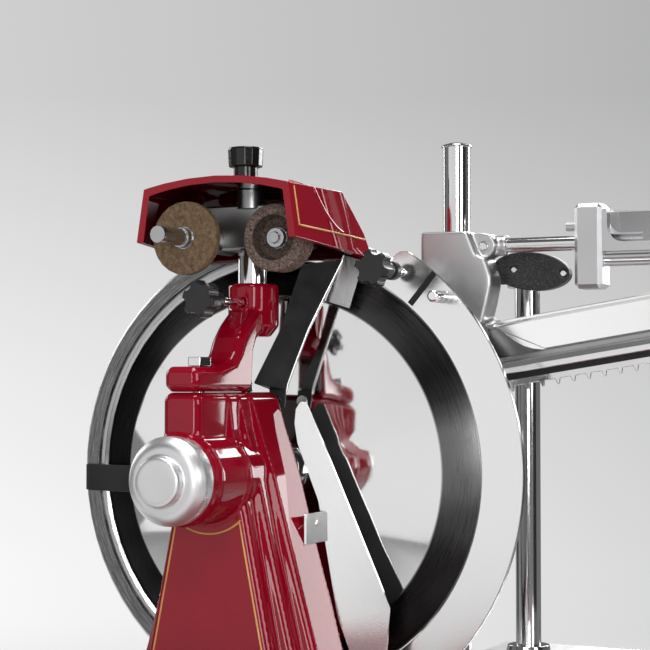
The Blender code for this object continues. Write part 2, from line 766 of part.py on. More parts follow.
def capsule(first, second, radius_first, radius_second, steps=LONG_HOLE_STEPS):
    """Outline round two circles, as straight tangents between two arcs."""
    angle = math.atan2(second[1] - first[1], second[0] - first[0])
    far = arc(second, radius_second, angle - math.pi / 2, angle + math.pi / 2, steps)
    near = arc(first, radius_first, angle + math.pi / 2, angle + math.pi * 3 / 2, steps)
    return far + near


def rounded_rectangle(left, right, front, rear, corner, steps=CORNER_STEPS):
    """Outline of a rectangle with round corners."""
    points = []
    corners = ((right, rear, 0), (left, rear, 1), (left, front, 2), (right, front, 3))
    for x, y, quarter in corners:
        inward_x = -corner if x == right else corner
        inward_y = -corner if y == rear else corner
        start = quarter * math.pi / 2
        points += arc((x + inward_x, y + inward_y), corner, start, start + math.pi / 2, steps)
    return points


def at_height(outline, height):
    return [(x, y, height) for x, y in outline]


def above_axis(height):
    """World height of a place given above the blade axis."""
    return AXIS_HEIGHT + height


def lobed_outline(radius, lobes, share, points=KNOB_POINTS):
    """Outline of a star knob."""
    outline = []
    for i in range(points):
        angle = math.tau * i / points
        reach = radius * (1 - share * (1 - math.cos(lobes * angle)) / 2)
        outline.append((reach * math.cos(angle), reach * math.sin(angle)))
    return outline


def toothed_outline(teeth, root, tip, root_share, tip_share, phase):
    """Outline of a toothed wheel. The shares are of one pitch, at the root and at the tip."""
    outline = []
    pitch = math.tau / teeth
    for tooth in range(teeth):
        middle = phase + tooth * pitch
        stations = (
            (-root_share / 2, root), (-tip_share / 2, tip), (tip_share / 2, tip), (root_share / 2, root)
        )
        for share, radius in stations:
            angle = middle + share * pitch
            outline.append((radius * math.cos(angle), radius * math.sin(angle)))
    return outline


def moved_outline(outline, centre):
    return [(x + centre[0], y + centre[1]) for x, y in outline]


def build_base():
    """Hollow casting, open below, with bearing bosses, a rib and the openings in its deck."""
    skirt_top = FOOT_HEIGHT + BASE_SKIRT_HEIGHT

    def ring(grow, height, wall=0):
        corner = BASE_CORNER + grow - wall
        outline = rounded_rectangle(
            BASE_LEFT - grow + wall, BASE_RIGHT + grow - wall, BASE_FRONT - grow + wall,
            BASE_REAR + grow - wall, corner
        )
        return at_height(outline, height)

    ceiling = DECK_HEIGHT - BASE_WALL
    sections = [
        ring(-DECK_ROUND, ceiling, BASE_WALL),
        ring(0, ceiling - DECK_ROUND, BASE_WALL),
        ring(0, skirt_top, BASE_WALL),
        ring(BASE_FLARE, FOOT_HEIGHT, BASE_WALL),
        ring(BASE_FLARE, FOOT_HEIGHT),
        ring(BASE_FLARE / 3, FOOT_HEIGHT + BASE_SKIRT_HEIGHT / 2),
        ring(0, skirt_top),
        ring(0, DECK_HEIGHT - DECK_ROUND),
        ring(-DECK_ROUND / 3, DECK_HEIGHT - DECK_ROUND / 3),
        ring(-DECK_ROUND, DECK_HEIGHT),
    ]
    base = lofted("base_casting", sections, "red_enamel", smooth=False)
    pads = []
    for side, end, x, y in foot_places():
        top = FOOT_HEIGHT + FOOT_PAD_THICKNESS
        pads.append(
            pin_tool(f"pad_{end}_{side}_tool", "Z", (x, y, 0), FOOT_PAD_RADIUS, FOOT_HEIGHT, top, SMALL_STEPS)
        )
    flywheel = (FLYWHEEL_X, 0, FLYWHEEL_HEIGHT)
    idler = (idler_x(), 0, FLYWHEEL_HEIGHT)
    rib = block(
        "rib_tool", (RIB_LEFT, RIB_FRONT, RIB_BOTTOM), (RIB_RIGHT, RIB_REAR, ceiling + BASE_WALL / 2), None
    )
    boss = pin_tool("boss_tool", "Y", flywheel, BOSS_RADIUS, BOSS_FRONT, BOSS_REAR)
    idler_boss = pin_tool(
        "idler_boss_tool", "Y", idler, IDLER_BOSS_RADIUS, BASE_FRONT + BASE_WALL / 2, BOSS_REAR
    )
    add(base, *pads, rib, boss, idler_boss)
    boss_bore = pin_tool(
        "boss_bore_tool", "Y", flywheel, bush_radius() + SEAT_GAP, BOSS_FRONT - OVERRUN, BOSS_REAR + OVERRUN
    )
    rib_bore = pin_tool(
        "rib_bore_tool", "Y", flywheel, SHAFT_RADIUS + RUN_GAP, RIB_FRONT - OVERRUN, RIB_REAR + OVERRUN
    )
    idler_bore = pin_tool(
        "idler_bore_tool", "Y", idler, IDLER_RADIUS + RUN_GAP, IDLER_FRONT - RUN_GAP, RIB_REAR + OVERRUN
    )
    pivot_bore = pin_tool(
        "pivot_bore_tool", "Y", (FLYWHEEL_X, 0, SWING_PIVOT_HEIGHT), SWING_PIN_RADIUS + SEAT_GAP,
        RIB_FRONT - OVERRUN, RIB_REAR + OVERRUN,
    )
    deck_slot = block(
        "deck_slot_tool", (DECK_SLOT_LEFT, DECK_SLOT_FRONT, ceiling - OVERRUN),
        (DECK_SLOT_RIGHT, DECK_SLOT_REAR, DECK_HEIGHT + OVERRUN), None,
    )
    low_end, high_end = chain_centres()
    share = (DECK_HEIGHT - low_end[1]) / (high_end[1] - low_end[1])
    chain_x = low_end[0] + share * (high_end[0] - low_end[0])
    half = chain_room_radius() * 1.15
    chain_slot = block(
        "chain_slot_tool", (chain_x - half, CAVITY_FRONT, ceiling - OVERRUN),
        (chain_x + half, CAVITY_REAR, DECK_HEIGHT + OVERRUN), None,
    )
    return cut(base, boss_bore, rib_bore, idler_bore, pivot_bore, deck_slot, chain_slot)


def foot_places():
    """Names and centres of the four feet."""
    places = []
    for side, x in (("left", BASE_LEFT + FOOT_INSET), ("right", BASE_RIGHT - FOOT_INSET)):
        for end, y in (("front", BASE_FRONT + FOOT_INSET), ("rear", BASE_REAR - FOOT_INSET)):
            places.append((side, end, x, y))
    return places


def build_feet():
    """Rubber feet under the corner pads."""
    top = FOOT_HEIGHT - SEAT_GAP
    profile = [(0, 0), (0, FOOT_RADIUS - EDGE_ROUND), (EDGE_ROUND, FOOT_RADIUS), (top, FOOT_RADIUS - EDGE_ROUND), (top, 0)]
    for side, end, x, y in foot_places():
        turned(f"foot_{end}_{side}", profile, "black_rubber", "Z", (x, y, 0), SMALL_STEPS)


def bush_radius():
    return SHAFT_RADIUS + RUN_GAP + BUSH_WALL


def gear_pitch_radius(teeth):
    return teeth * MODULE / 2


def idler_x():
    """The pinion's centre, one centre distance to the left of the flywheel shaft."""
    return FLYWHEEL_X - gear_pitch_radius(GEAR_TEETH) - gear_pitch_radius(PINION_TEETH)


def chain_centres():
    """Centres of the lower and the upper sprocket in the XZ plane."""
    return (idler_x(), FLYWHEEL_HEIGHT), (0, AXIS_HEIGHT)


def chain_room_radius():
    return CHAIN_INNER + CHAIN_THICKNESS + CHAIN_ROOM


def build_flywheel_bush():
    bore = SHAFT_RADIUS + RUN_GAP
    profile = [(BOSS_FRONT, bore), (BOSS_FRONT, bush_radius()), (BOSS_REAR, bush_radius()), (BOSS_REAR, bore)]
    turned("flywheel_bush", profile, "bronze", "Y", (FLYWHEEL_X, 0, FLYWHEEL_HEIGHT), ring=True)


def build_flywheel():
    """Rim, hub and straight spokes in one casting."""
    centre = (FLYWHEEL_X, 0, FLYWHEEL_HEIGHT)
    inner = FLYWHEEL_RADIUS - RIM_DEPTH
    edge = RIM_DEPTH / 5
    rim = turned(
        "flywheel",
        [
            (RIM_FRONT, inner + edge), (RIM_FRONT, FLYWHEEL_RADIUS - edge),
            (RIM_FRONT + edge, FLYWHEEL_RADIUS),
            (RIM_REAR - edge, FLYWHEEL_RADIUS), (RIM_REAR, FLYWHEEL_RADIUS - edge), (RIM_REAR, inner + edge),
            (RIM_REAR - edge, inner), (RIM_FRONT + edge, inner),
        ],
        "red_enamel", "Y", centre, BIG_STEPS, ring=True,
    )
    bore = SHAFT_RADIUS + SEAT_GAP
    hub = turned(
        "hub_tool", [(HUB_FRONT, bore), (HUB_FRONT, HUB_RADIUS), (HUB_REAR, HUB_RADIUS), (HUB_REAR, bore)],
        None, "Y", centre, ring=True,
    )
    middle = (RIM_FRONT + RIM_REAR) / 2
    spokes = []
    for i in range(SPOKES):
        angle = HANDLE_ANGLE + math.tau * i / SPOKES
        start = HUB_RADIUS
        end = inner + edge
        near = (centre[0] + start * math.cos(angle), centre[2] + start * math.sin(angle))
        far = (centre[0] + end * math.cos(angle), centre[2] + end * math.sin(angle))
        outline = capsule(near, far, SPOKE_WIDTH * 2 / 3, SPOKE_WIDTH / 2, SPOKE_STEPS)
        low = middle - SPOKE_THICKNESS / 2
        spokes.append(plate(f"spoke_{i}_tool", outline, None, "XZ", low, low + SPOKE_THICKNESS))
    add(rim, hub, *spokes)
    x, z = handle_place()
    hole = pin_tool(
        "spindle_hole_tool", "Y", (x, 0, z), SPINDLE_RADIUS + SEAT_GAP, RIM_FRONT - OVERRUN,
        RIM_REAR + OVERRUN, SMALL_STEPS
    )
    return cut(rim, hole)


def handle_place():
    """Centre of the crank handle in the XZ plane."""
    return (
        FLYWHEEL_X + HANDLE_THROW * math.cos(HANDLE_ANGLE),
        FLYWHEEL_HEIGHT + HANDLE_THROW * math.sin(HANDLE_ANGLE),
    )


def build_handle():
    """Spindle through the rim, with the turning grip on it."""
    x, z = handle_place()
    place = (x, 0, z)
    collar_front = RIM_FRONT - SEAT_GAP - SPINDLE_COLLAR
    spindle = [
        (SPINDLE_FRONT, 0), (SPINDLE_FRONT, SPINDLE_HEAD_RADIUS),
        (SPINDLE_FRONT + SPINDLE_HEAD, SPINDLE_HEAD_RADIUS),
        (SPINDLE_FRONT + SPINDLE_HEAD, SPINDLE_RADIUS), (collar_front, SPINDLE_RADIUS),
        (collar_front, SPINDLE_COLLAR_RADIUS), (RIM_FRONT - SEAT_GAP, SPINDLE_COLLAR_RADIUS),
        (RIM_FRONT - SEAT_GAP, SPINDLE_RADIUS), (RIM_REAR, SPINDLE_RADIUS), (RIM_REAR, 0),
    ]
    turned("handle_spindle", spindle, "polished_steel", "Y", place, SMALL_STEPS)
    front = SPINDLE_FRONT + SPINDLE_HEAD + RUN_GAP
    rear = collar_front - RUN_GAP
    length = rear - front
    bore = SPINDLE_RADIUS + RUN_GAP
    grip = [
        (front, bore), (front, GRIP_END_RADIUS),
        (front + length * GRIP_LIP_SHARE, GRIP_RADIUS * GRIP_SHOULDER_SHARE),
        (front + length / 4, GRIP_RADIUS), (front + length * 2 / 3, GRIP_WAIST_RADIUS),
        (rear - length * GRIP_LIP_SHARE, GRIP_END_RADIUS), (rear, GRIP_END_RADIUS), (rear, bore),
    ]
    turned("handle_grip", grip, "black_plastic", "Y", place, ROUND_STEPS, ring=True)


def build_crankshaft():
    """Flywheel shaft, crank web and crank pin in one forging, with the nut that holds the flywheel."""
    centre = (FLYWHEEL_X, 0, FLYWHEEL_HEIGHT)
    profile = [
        (SHAFT_END_NUT_FRONT, 0), (SHAFT_END_NUT_FRONT, SHAFT_END_NUT_RADIUS),
        (HUB_FRONT - SEAT_GAP, SHAFT_END_NUT_RADIUS), (HUB_FRONT - SEAT_GAP, SHAFT_RADIUS),
        (CRANK_FRONT, SHAFT_RADIUS), (CRANK_FRONT, CRANK_HUB_RADIUS), (CRANK_REAR, CRANK_HUB_RADIUS),
        (CRANK_REAR, 0),
    ]
    shaft = turned("crankshaft", profile, "polished_steel", "Y", centre)
    x = FLYWHEEL_X + CRANK_THROW * math.cos(CRANK_REST_ANGLE)
    z = FLYWHEEL_HEIGHT + CRANK_THROW * math.sin(CRANK_REST_ANGLE)
    outline = capsule(
        (FLYWHEEL_X, FLYWHEEL_HEIGHT), (x, z), CRANK_HUB_RADIUS * CRANK_WEB_SHARE, CRANK_PIN_SEAT_RADIUS
    )
    inset = (CRANK_REAR - CRANK_FRONT) / 8
    web = plate("crank_web_tool", outline, None, "XZ", CRANK_FRONT + inset, CRANK_REAR - inset)
    pin = pin_tool(
        "crank_pin_tool", "Y", (x, 0, z), CRANK_PIN_RADIUS, CRANK_FRONT + inset * 2, CRANK_PIN_REAR,
        SMALL_STEPS
    )
    return add(shaft, web, pin)


def build_drive_gear():
    """Spur gear keyed on the flywheel shaft."""
    pitch = gear_pitch_radius(GEAR_TEETH)
    outline = toothed_outline(
        GEAR_TEETH, pitch - TOOTH_DEDENDUM_SHARE * MODULE, pitch + TOOTH_ADDENDUM_SHARE * MODULE,
        TOOTH_ROOT_SHARE, TOOTH_TIP_SHARE, math.pi,
    )
    centre = (FLYWHEEL_X, FLYWHEEL_HEIGHT)
    gear = plate("drive_gear", moved_outline(outline, centre), "dark_steel", "XZ", GEAR_FRONT, GEAR_REAR)
    place = (FLYWHEEL_X, 0, FLYWHEEL_HEIGHT)
    hub = pin_tool("gear_hub_tool", "Y", place, GEAR_HUB_RADIUS, (GEAR_FRONT + GEAR_REAR) / 2, GEAR_HUB_REAR)
    bore = pin_tool(
        "gear_bore_tool", "Y", place, SHAFT_RADIUS + SEAT_GAP, GEAR_FRONT - OVERRUN, GEAR_HUB_REAR + OVERRUN
    )
    add(gear, hub)
    return cut(gear, bore)


def build_idler():
    """Pinion cut on its shaft, with the lower sprocket behind it."""
    pitch = gear_pitch_radius(PINION_TEETH)
    outline = toothed_outline(
        PINION_TEETH, pitch - TOOTH_DEDENDUM_SHARE * MODULE, pitch + TOOTH_ADDENDUM_SHARE * MODULE,
        TOOTH_ROOT_SHARE, TOOTH_TIP_SHARE, math.pi / PINION_TEETH,
    )
    centre = (idler_x(), FLYWHEEL_HEIGHT)
    pinion = plate("pinion_shaft", moved_outline(outline, centre), "dark_steel", "XZ", GEAR_FRONT, GEAR_REAR)
    place = (idler_x(), 0, FLYWHEEL_HEIGHT)
    shaft = pin_tool("idler_shaft_tool", "Y", place, IDLER_RADIUS, IDLER_FRONT, IDLER_REAR, ROUND_STEPS)
    add(pinion, shaft)
    build_sprocket("lower_sprocket", place, IDLER_RADIUS)


def build_sprocket(name, place, shaft_radius):
    """Chain sprocket with its bore on a shaft."""
    outline = toothed_outline(
        SPROCKET_TEETH, SPROCKET_RADIUS - SPROCKET_TOOTH, SPROCKET_RADIUS, TOOTH_ROOT_SHARE,
        TOOTH_TIP_SHARE, 0
    )
    front = CHAIN_FRONT + SPROCKET_INSET
    rear = CHAIN_REAR - SPROCKET_INSET
    sprocket = plate(name, moved_outline(outline, (place[0], place[2])), "dark_steel", "XZ", front, rear)
    bore = pin_tool(
        f"{name}_bore_tool", "Y", place, shaft_radius + SEAT_GAP, front - OVERRUN, rear + OVERRUN, ROUND_STEPS
    )
    return cut(sprocket, bore)


def build_chain():
    """Closed run of chain round both sprockets."""
    low, high = chain_centres()
    outer_radius = CHAIN_INNER + CHAIN_THICKNESS
    outer = capsule(low, high, outer_radius, outer_radius, CHAIN_END_STEPS)
    inner = capsule(low, high, CHAIN_INNER, CHAIN_INNER, CHAIN_END_STEPS)
    chain = plate("drive_chain", outer, "dark_steel", "XZ", CHAIN_FRONT, CHAIN_REAR)
    hollow = plate("chain_hollow_tool", inner, None, "XZ", CHAIN_FRONT - OVERRUN, CHAIN_REAR + OVERRUN)
    return cut(chain, hollow)


def build_swing_arm():
    """Slotted arm that swings the carriage, and the pin that carries it."""
    pivot = (FLYWHEEL_X, SWING_PIVOT_HEIGHT)
    direction = (math.sin(SWING_REST_ANGLE), math.cos(SWING_REST_ANGLE))

    def along(distance):
        return pivot[0] + distance * direction[0], pivot[1] + distance * direction[1]

    wide = SWING_SLOT_RADIUS + SWING_CHEEK
    outline = capsule(pivot, along(SWING_LENGTH), SWING_HUB_RADIUS, SWING_END_RADIUS)
    arm = plate("swing_arm", outline, "dark_steel", "XZ", SWING_FRONT, SWING_REAR)
    inset = (SWING_REAR - SWING_FRONT) / 8
    body_outline = capsule(along(SWING_SLOT_NEAR), along(SWING_SLOT_FAR), wide, wide)
    body = plate("swing_body_tool", body_outline, None, "XZ", SWING_FRONT + inset, SWING_REAR - inset)
    tip = along(SWING_LENGTH)
    tip_pin = pin_tool(
        "swing_tip_tool", "Y", (tip[0], 0, tip[1]), SWING_TIP_PIN_RADIUS, SWING_FRONT + inset,
        SWING_TIP_PIN_REAR, SMALL_STEPS
    )
    slot_outline = capsule(
        along(SWING_SLOT_NEAR), along(SWING_SLOT_FAR), SWING_SLOT_RADIUS, SWING_SLOT_RADIUS
    )
    slot = plate("swing_slot_tool", slot_outline, None, "XZ", SWING_FRONT - OVERRUN, SWING_REAR + OVERRUN)
    bore = pin_tool(
        "swing_bore_tool", "Y", (pivot[0], 0, pivot[1]), SWING_PIN_RADIUS + RUN_GAP,
        SWING_FRONT - OVERRUN, SWING_REAR + OVERRUN, SMALL_STEPS,
    )
    add(arm, body, tip_pin)
    cut(arm, slot, bore)
    head_front = SWING_REAR + RUN_GAP
    shoulder = SWING_FRONT - RUN_GAP
    profile = [
        (RIB_FRONT, 0), (RIB_FRONT, SWING_PIN_RADIUS), (RIB_REAR + SEAT_GAP, SWING_PIN_RADIUS),
        (RIB_REAR + SEAT_GAP, SWING_PIN_HEAD_RADIUS), (shoulder, SWING_PIN_HEAD_RADIUS),
        (shoulder, SWING_PIN_RADIUS),
        (head_front, SWING_PIN_RADIUS), (head_front, SWING_PIN_HEAD_RADIUS),
        (head_front + SWING_PIN_HEAD, SWING_PIN_HEAD_RADIUS), (head_front + SWING_PIN_HEAD, 0),
    ]
    turned("swing_arm_pin", profile, "polished_steel", "Y", (pivot[0], 0, pivot[1]), SMALL_STEPS)


def flare_outline(share=1.0, least=0.0):
    """Front outline of the column body, down to the deck."""
    foot = DECK_HEIGHT + SEAT_GAP - AXIS_HEIGHT
    stations = list(zip(FLARE_HEIGHTS, FLARE_HALF_WIDTHS)) + [(foot, COLUMN_FOOT_HALF_WIDTH)]
    right = [(max(width * share, least), above_axis(height)) for height, width in stations]
    left = [(-x, z) for x, z in reversed(right)]
    return right + left


def build_column():
    """Column casting with its front head, stepped flare, barrel and the hollow for the chain."""
    body = plate("column_casting", flare_outline(), "red_enamel", "XZ", BODY_FRONT, COLUMN_REAR)
    rounded(body, CAST_ROUND)
    tools = []
    front = BODY_FRONT
    for i, share in enumerate(FLUTE_SHARES):
        outline = flare_outline(share, FIN_HALF_WIDTH)
        step = plate(
            f"flute_{i}_tool", outline, None, "XZ", front - COLUMN_STEP_BACK, COLUMN_REAR - CAST_ROUND
        )
        tools.append(rounded(step, CAST_ROUND))
        front -= COLUMN_STEP_BACK
    seam = above_axis(FLANGE_SEAM)
    fin_outline = [
        (COLUMN_FRONT, seam), (BODY_FRONT + CAST_ROUND, seam), (BODY_FRONT + CAST_ROUND, AXIS_HEIGHT),
        (COLUMN_FRONT, AXIS_HEIGHT),
    ]
    fin = plate("fin_tool", fin_outline, None, "YZ", -FIN_HALF_WIDTH, FIN_HALF_WIDTH)
    tools.append(rounded(fin, CAST_ROUND))
    profile = [(BARREL_FRONT, 0), (BARREL_FRONT, BARREL_RADIUS)]
    for place in BARREL_BEAD_PLACES:
        half = BARREL_BEAD_WIDTH / 2
        profile += [(place - half, BARREL_RADIUS), (place, BARREL_RADIUS + BARREL_BEAD), (place + half, BARREL_RADIUS)]
    rear = COLUMN_REAR - CAST_ROUND / 2
    profile += [(rear, BARREL_RADIUS), (rear, 0)]
    axis = (0, 0, AXIS_HEIGHT)
    tools.append(turned("barrel_tool", profile, None, "Y", axis))
    add(body, *tools)
    cut(body, *column_cutters(axis))
    return body


def column_cutters(axis):
    """Bores of the column: the bearing seat, the shaft way, the chain's hollow and its rear window."""
    seat = pin_tool(
        "bearing_seat_tool", "Y", axis, bearing_radius() + SEAT_GAP, BARREL_FRONT - OVERRUN,
        BEARING_REAR + SEAT_GAP
    )
    way = pin_tool(
        "shaft_way_tool", "Y", axis, BLADE_SHAFT_RADIUS + RUN_GAP, BARREL_FRONT - OVERRUN,
        COLUMN_REAR + OVERRUN
    )
    low, high = chain_centres()
    room = chain_room_radius()
    hollow = plate(
        "chain_room_tool", capsule(low, high, room, room, CAVITY_STEPS), None, "XZ", CAVITY_FRONT, CAVITY_REAR
    )
    top, bottom = window_centres()
    window = plate(
        "window_tool", capsule(bottom, top, WINDOW_RADIUS, WINDOW_RADIUS, WINDOW_STEPS), None, "XZ",
        CAVITY_REAR - OVERRUN, COLUMN_REAR + OVERRUN,
    )
    bolt_way = pin_tool(
        "bolt_way_tool", "Z", (0, BOLT_FRONT, 0), BOLT_RADIUS + SEAT_GAP,
        above_axis(FLANGE_SEAM) - BOLT_LENGTH, above_axis(FLANGE_SEAM) + OVERRUN, SMALL_STEPS,
    )
    pin_way = pin_tool(
        "pin_way_tool", "Y", (DEFLECTOR_PIN_X, 0, above_axis(DEFLECTOR_PIN_HEIGHT)),
        DEFLECTOR_PIN_RADIUS + SEAT_GAP,
        COLUMN_REAR - DEFLECTOR_PIN_DEPTH - SEAT_GAP, COLUMN_REAR + OVERRUN, SMALL_STEPS,
    )
    flange_way = pin_tool(
        "flange_way_tool", "X", (0, FLANGE_SCREW_Y, above_axis(FLANGE_SCREW_HEIGHT)),
        FLANGE_SCREW_RADIUS + SEAT_GAP,
        FLANGE_SCREW_LEFT - SEAT_GAP, FLANGE_LEFT + OVERRUN, SMALL_STEPS,
    )
    rear_bolt_way = pin_tool(
        "rear_bolt_way_tool", "Z", (0, BOLT_REAR, 0), REAR_BOLT_RADIUS + SEAT_GAP,
        above_axis(FLANGE_SEAM) - BOLT_LENGTH / 2, above_axis(FLANGE_SEAM) + OVERRUN, SMALL_STEPS,
    )
    return seat, way, hollow, window, bolt_way, rear_bolt_way, pin_way, flange_way


def window_centres():
    """Upper and lower centre of the chain window, on the chain's slanted middle line."""
    low, high = chain_centres()
    centres = []
    for height in (REAR_COVER_TOP, REAR_COVER_BOTTOM):
        share = (above_axis(height) - low[1]) / (high[1] - low[1])
        centres.append((low[0] + share * (high[0] - low[0]), above_axis(height)))
    return centres


def build_rear_cover():
    """Plate over the chain window."""
    top, bottom = window_centres()
    radius = WINDOW_RADIUS + REAR_COVER_LAP
    front = COLUMN_REAR + SEAT_GAP
    cover = plate(
        "column_rear_cover", capsule(bottom, top, radius, radius, LONG_HOLE_STEPS), "red_enamel", "XZ",
        front, front + REAR_COVER_THICKNESS
    )
    return cover


def bearing_radius():
    return BLADE_SHAFT_RADIUS + RUN_GAP + BEARING_WALL


def build_bearing():
    bore = BLADE_SHAFT_RADIUS + RUN_GAP
    profile = [
        (BEARING_FRONT, bore), (BEARING_FRONT, bearing_radius()), (BEARING_REAR, bearing_radius()),
        (BEARING_REAR, bore)
    ]
    turned("blade_bearing", profile, "bronze", "Y", (0, 0, AXIS_HEIGHT), ring=True)


def build_hub_cap():
    """Turned aluminium cap over the shaft end."""
    profile = [
        (CAP_FRONT + EDGE_ROUND / 3, 0), (CAP_FRONT + EDGE_ROUND / 3, CAP_BOSS_RADIUS * CAP_FACE_SHARE),
        (CAP_FRONT + EDGE_ROUND, CAP_BOSS_RADIUS), (CAP_GROOVE_FRONT, CAP_BOSS_RADIUS + EDGE_ROUND / 2),
        (CAP_GROOVE_FRONT, CAP_GROOVE_RADIUS), (CAP_SHOULDER_FRONT, CAP_SHOULDER_RADIUS),
        (CAP_RIM_FRONT - EDGE_ROUND / 2, CAP_RADIUS - EDGE_ROUND),
        (CAP_RIM_FRONT + EDGE_ROUND / 2, CAP_RADIUS),
        (CAP_REAR, CAP_RADIUS), (CAP_REAR, CAP_BORE), (CAP_REAR - CAP_BORE_DEPTH, CAP_BORE),
        (CAP_REAR - CAP_BORE_DEPTH, 0),
    ]
    turned("hub_cap", profile, "satin_aluminium", "Y", (0, 0, AXIS_HEIGHT))


def build_blade():
    """Dished round blade with its bevel, clamped on its shaft, and the upper sprocket."""
    axis = (0, 0, AXIS_HEIGHT)
    bore = BLADE_SHAFT_RADIUS + SEAT_GAP
    back = BLADE_THICKNESS
    profile = [
        (BLADE_CENTRE_FRONT, bore), (BLADE_CENTRE_FRONT, BLADE_CENTRE_RADIUS),
        (BLADE_BEVEL_FRONT, BLADE_BEVEL_RADIUS),
        (BLADE_EDGE_FRONT, BLADE_RADIUS), (BLADE_EDGE_FRONT + BLADE_EDGE_LAND, BLADE_RADIUS),
        (BLADE_BEVEL_FRONT + back, BLADE_BEVEL_RADIUS), (BLADE_CENTRE_FRONT + back, BLADE_CENTRE_RADIUS),
        (BLADE_CENTRE_FRONT + back, bore),
    ]
    turned("blade", profile, "mirror_blade", "Y", axis, BIG_STEPS, ring=True)
    flange_rear = BLADE_CENTRE_FRONT - SEAT_GAP
    nut_front = BLADE_CENTRE_FRONT + back + SEAT_GAP
    shaft = [
        (BLADE_SHAFT_FRONT, 0), (BLADE_SHAFT_FRONT, BLADE_SHAFT_RADIUS - SHAFT_STEP),
        (BLADE_SHAFT_FRONT + SHAFT_STEP, BLADE_SHAFT_RADIUS), (BLADE_FLANGE_FRONT, BLADE_SHAFT_RADIUS),
        (BLADE_FLANGE_FRONT, BLADE_FLANGE_RADIUS), (flange_rear, BLADE_FLANGE_RADIUS),
        (flange_rear, BLADE_SHAFT_RADIUS),
        (nut_front, BLADE_SHAFT_RADIUS), (nut_front, BLADE_NUT_RADIUS),
        (nut_front + BLADE_NUT, BLADE_NUT_RADIUS),
        (nut_front + BLADE_NUT, 0),
    ]
    turned("blade_shaft", shaft, "polished_steel", "Y", axis)
    build_sprocket("upper_sprocket", axis, BLADE_SHAFT_RADIUS)


def build_guard_ring():
    """Ring round the blade edge, open at the cutting side, with its foot on the deck."""
    axis = (0, 0, AXIS_HEIGHT)
    groove_outer = RING_GROOVE_INNER + RING_GROOVE_WIDTH
    profile = [
        (0, RING_INNER), (0, RING_GROOVE_INNER), (RING_GROOVE_DEPTH, RING_GROOVE_INNER),
        (RING_GROOVE_DEPTH, groove_outer),
        (0, groove_outer), (0, RING_OUTER - RING_EDGE), (RING_EDGE, RING_OUTER), (RING_DEPTH, RING_OUTER),
        (RING_DEPTH, RING_INNER),
    ]
    ring = turned(
        "guard_ring", profile, "polished_steel", "Y", axis, RING_STEPS, ring=True,
        start=-RING_START, sweep=-(RING_END - RING_START),
    )
    height = AXIS_HEIGHT - (RING_INNER + RING_OUTER) / 2
    inset = RING_DEPTH / 8
    foot = block(
        "ring_foot_tool", (RING_FOOT_LEFT, inset, DECK_HEIGHT + SEAT_GAP),
        (RING_FOOT_RIGHT, RING_DEPTH - inset, height + RING_EDGE), None,
    )
    add(ring, foot)
    hole_x, hole_z = polar(GUARD_KNOB_ANGLE, GUARD_KNOB_CENTRE_RADIUS)
    hole = pin_tool(
        "guard_hole_tool", "Y", (hole_x, 0, hole_z), SCREW_RADIUS + SEAT_GAP, -OVERRUN,
        GUARD_SCREW_DEPTH + SEAT_GAP, SMALL_STEPS
    )
    return cut(ring, hole)


def polar(angle, radius):
    """Place in the XZ plane at an angle and radius round the blade axis."""
    return radius * math.cos(angle), AXIS_HEIGHT + radius * math.sin(angle)


def build_guard_plate():
    """Flat polished guard over the cutting side, with its stud."""
    centre = (0, AXIS_HEIGHT)
    outer = arc(centre, PLATE_OUTER, PLATE_START, PLATE_END, PLATE_STEPS)
    inner = arc(centre, PLATE_INNER, PLATE_END, PLATE_START, PLATE_STEPS)
    quarter = math.pi / 2
    outer_corner = arc(
        polar(PLATE_END, PLATE_OUTER - PLATE_CORNER), PLATE_CORNER, PLATE_END, PLATE_END + quarter,
        CORNER_STEPS
    )[1:]
    along = polar(PLATE_END, PLATE_INNER + PLATE_INNER_CORNER)
    reach = PLATE_CORNER - PLATE_INNER_CORNER
    along = (along[0] - reach * math.sin(PLATE_END), along[1] + reach * math.cos(PLATE_END))
    inner_corner = arc(
        along, PLATE_INNER_CORNER, PLATE_END + quarter, PLATE_END + quarter * 2, PLATE_INNER_CORNER_STEPS
    )
    outline = outer + outer_corner + inner_corner + inner
    plate_obj = plate("guard_plate", outline, "polished_steel", "XZ", -SEAT_GAP - PLATE_THICKNESS, -SEAT_GAP)
    stud_x, stud_z = polar(STUD_ANGLE, STUD_CENTRE_RADIUS)
    face = -SEAT_GAP - PLATE_THICKNESS
    dome = STUD_RADIUS / 3
    stud = turned(
        "stud_tool",
        [
            (face - STUD_LENGTH, 0), (face - STUD_LENGTH, STUD_RADIUS - dome),
            (face - STUD_LENGTH + dome, STUD_RADIUS),
            (face + PLATE_THICKNESS / 2, STUD_RADIUS), (face + PLATE_THICKNESS / 2, 0),
        ],
        None, "Y", (stud_x, 0, stud_z), SMALL_STEPS,
    )
    hole_x, hole_z = polar(GUARD_KNOB_ANGLE, GUARD_KNOB_CENTRE_RADIUS)
    hole = pin_tool(
        "plate_hole_tool", "Y", (hole_x, 0, hole_z), SCREW_RADIUS + SEAT_GAP, face - OVERRUN, OVERRUN,
        SMALL_STEPS
    )
    add(plate_obj, stud)
    return cut(plate_obj, hole)


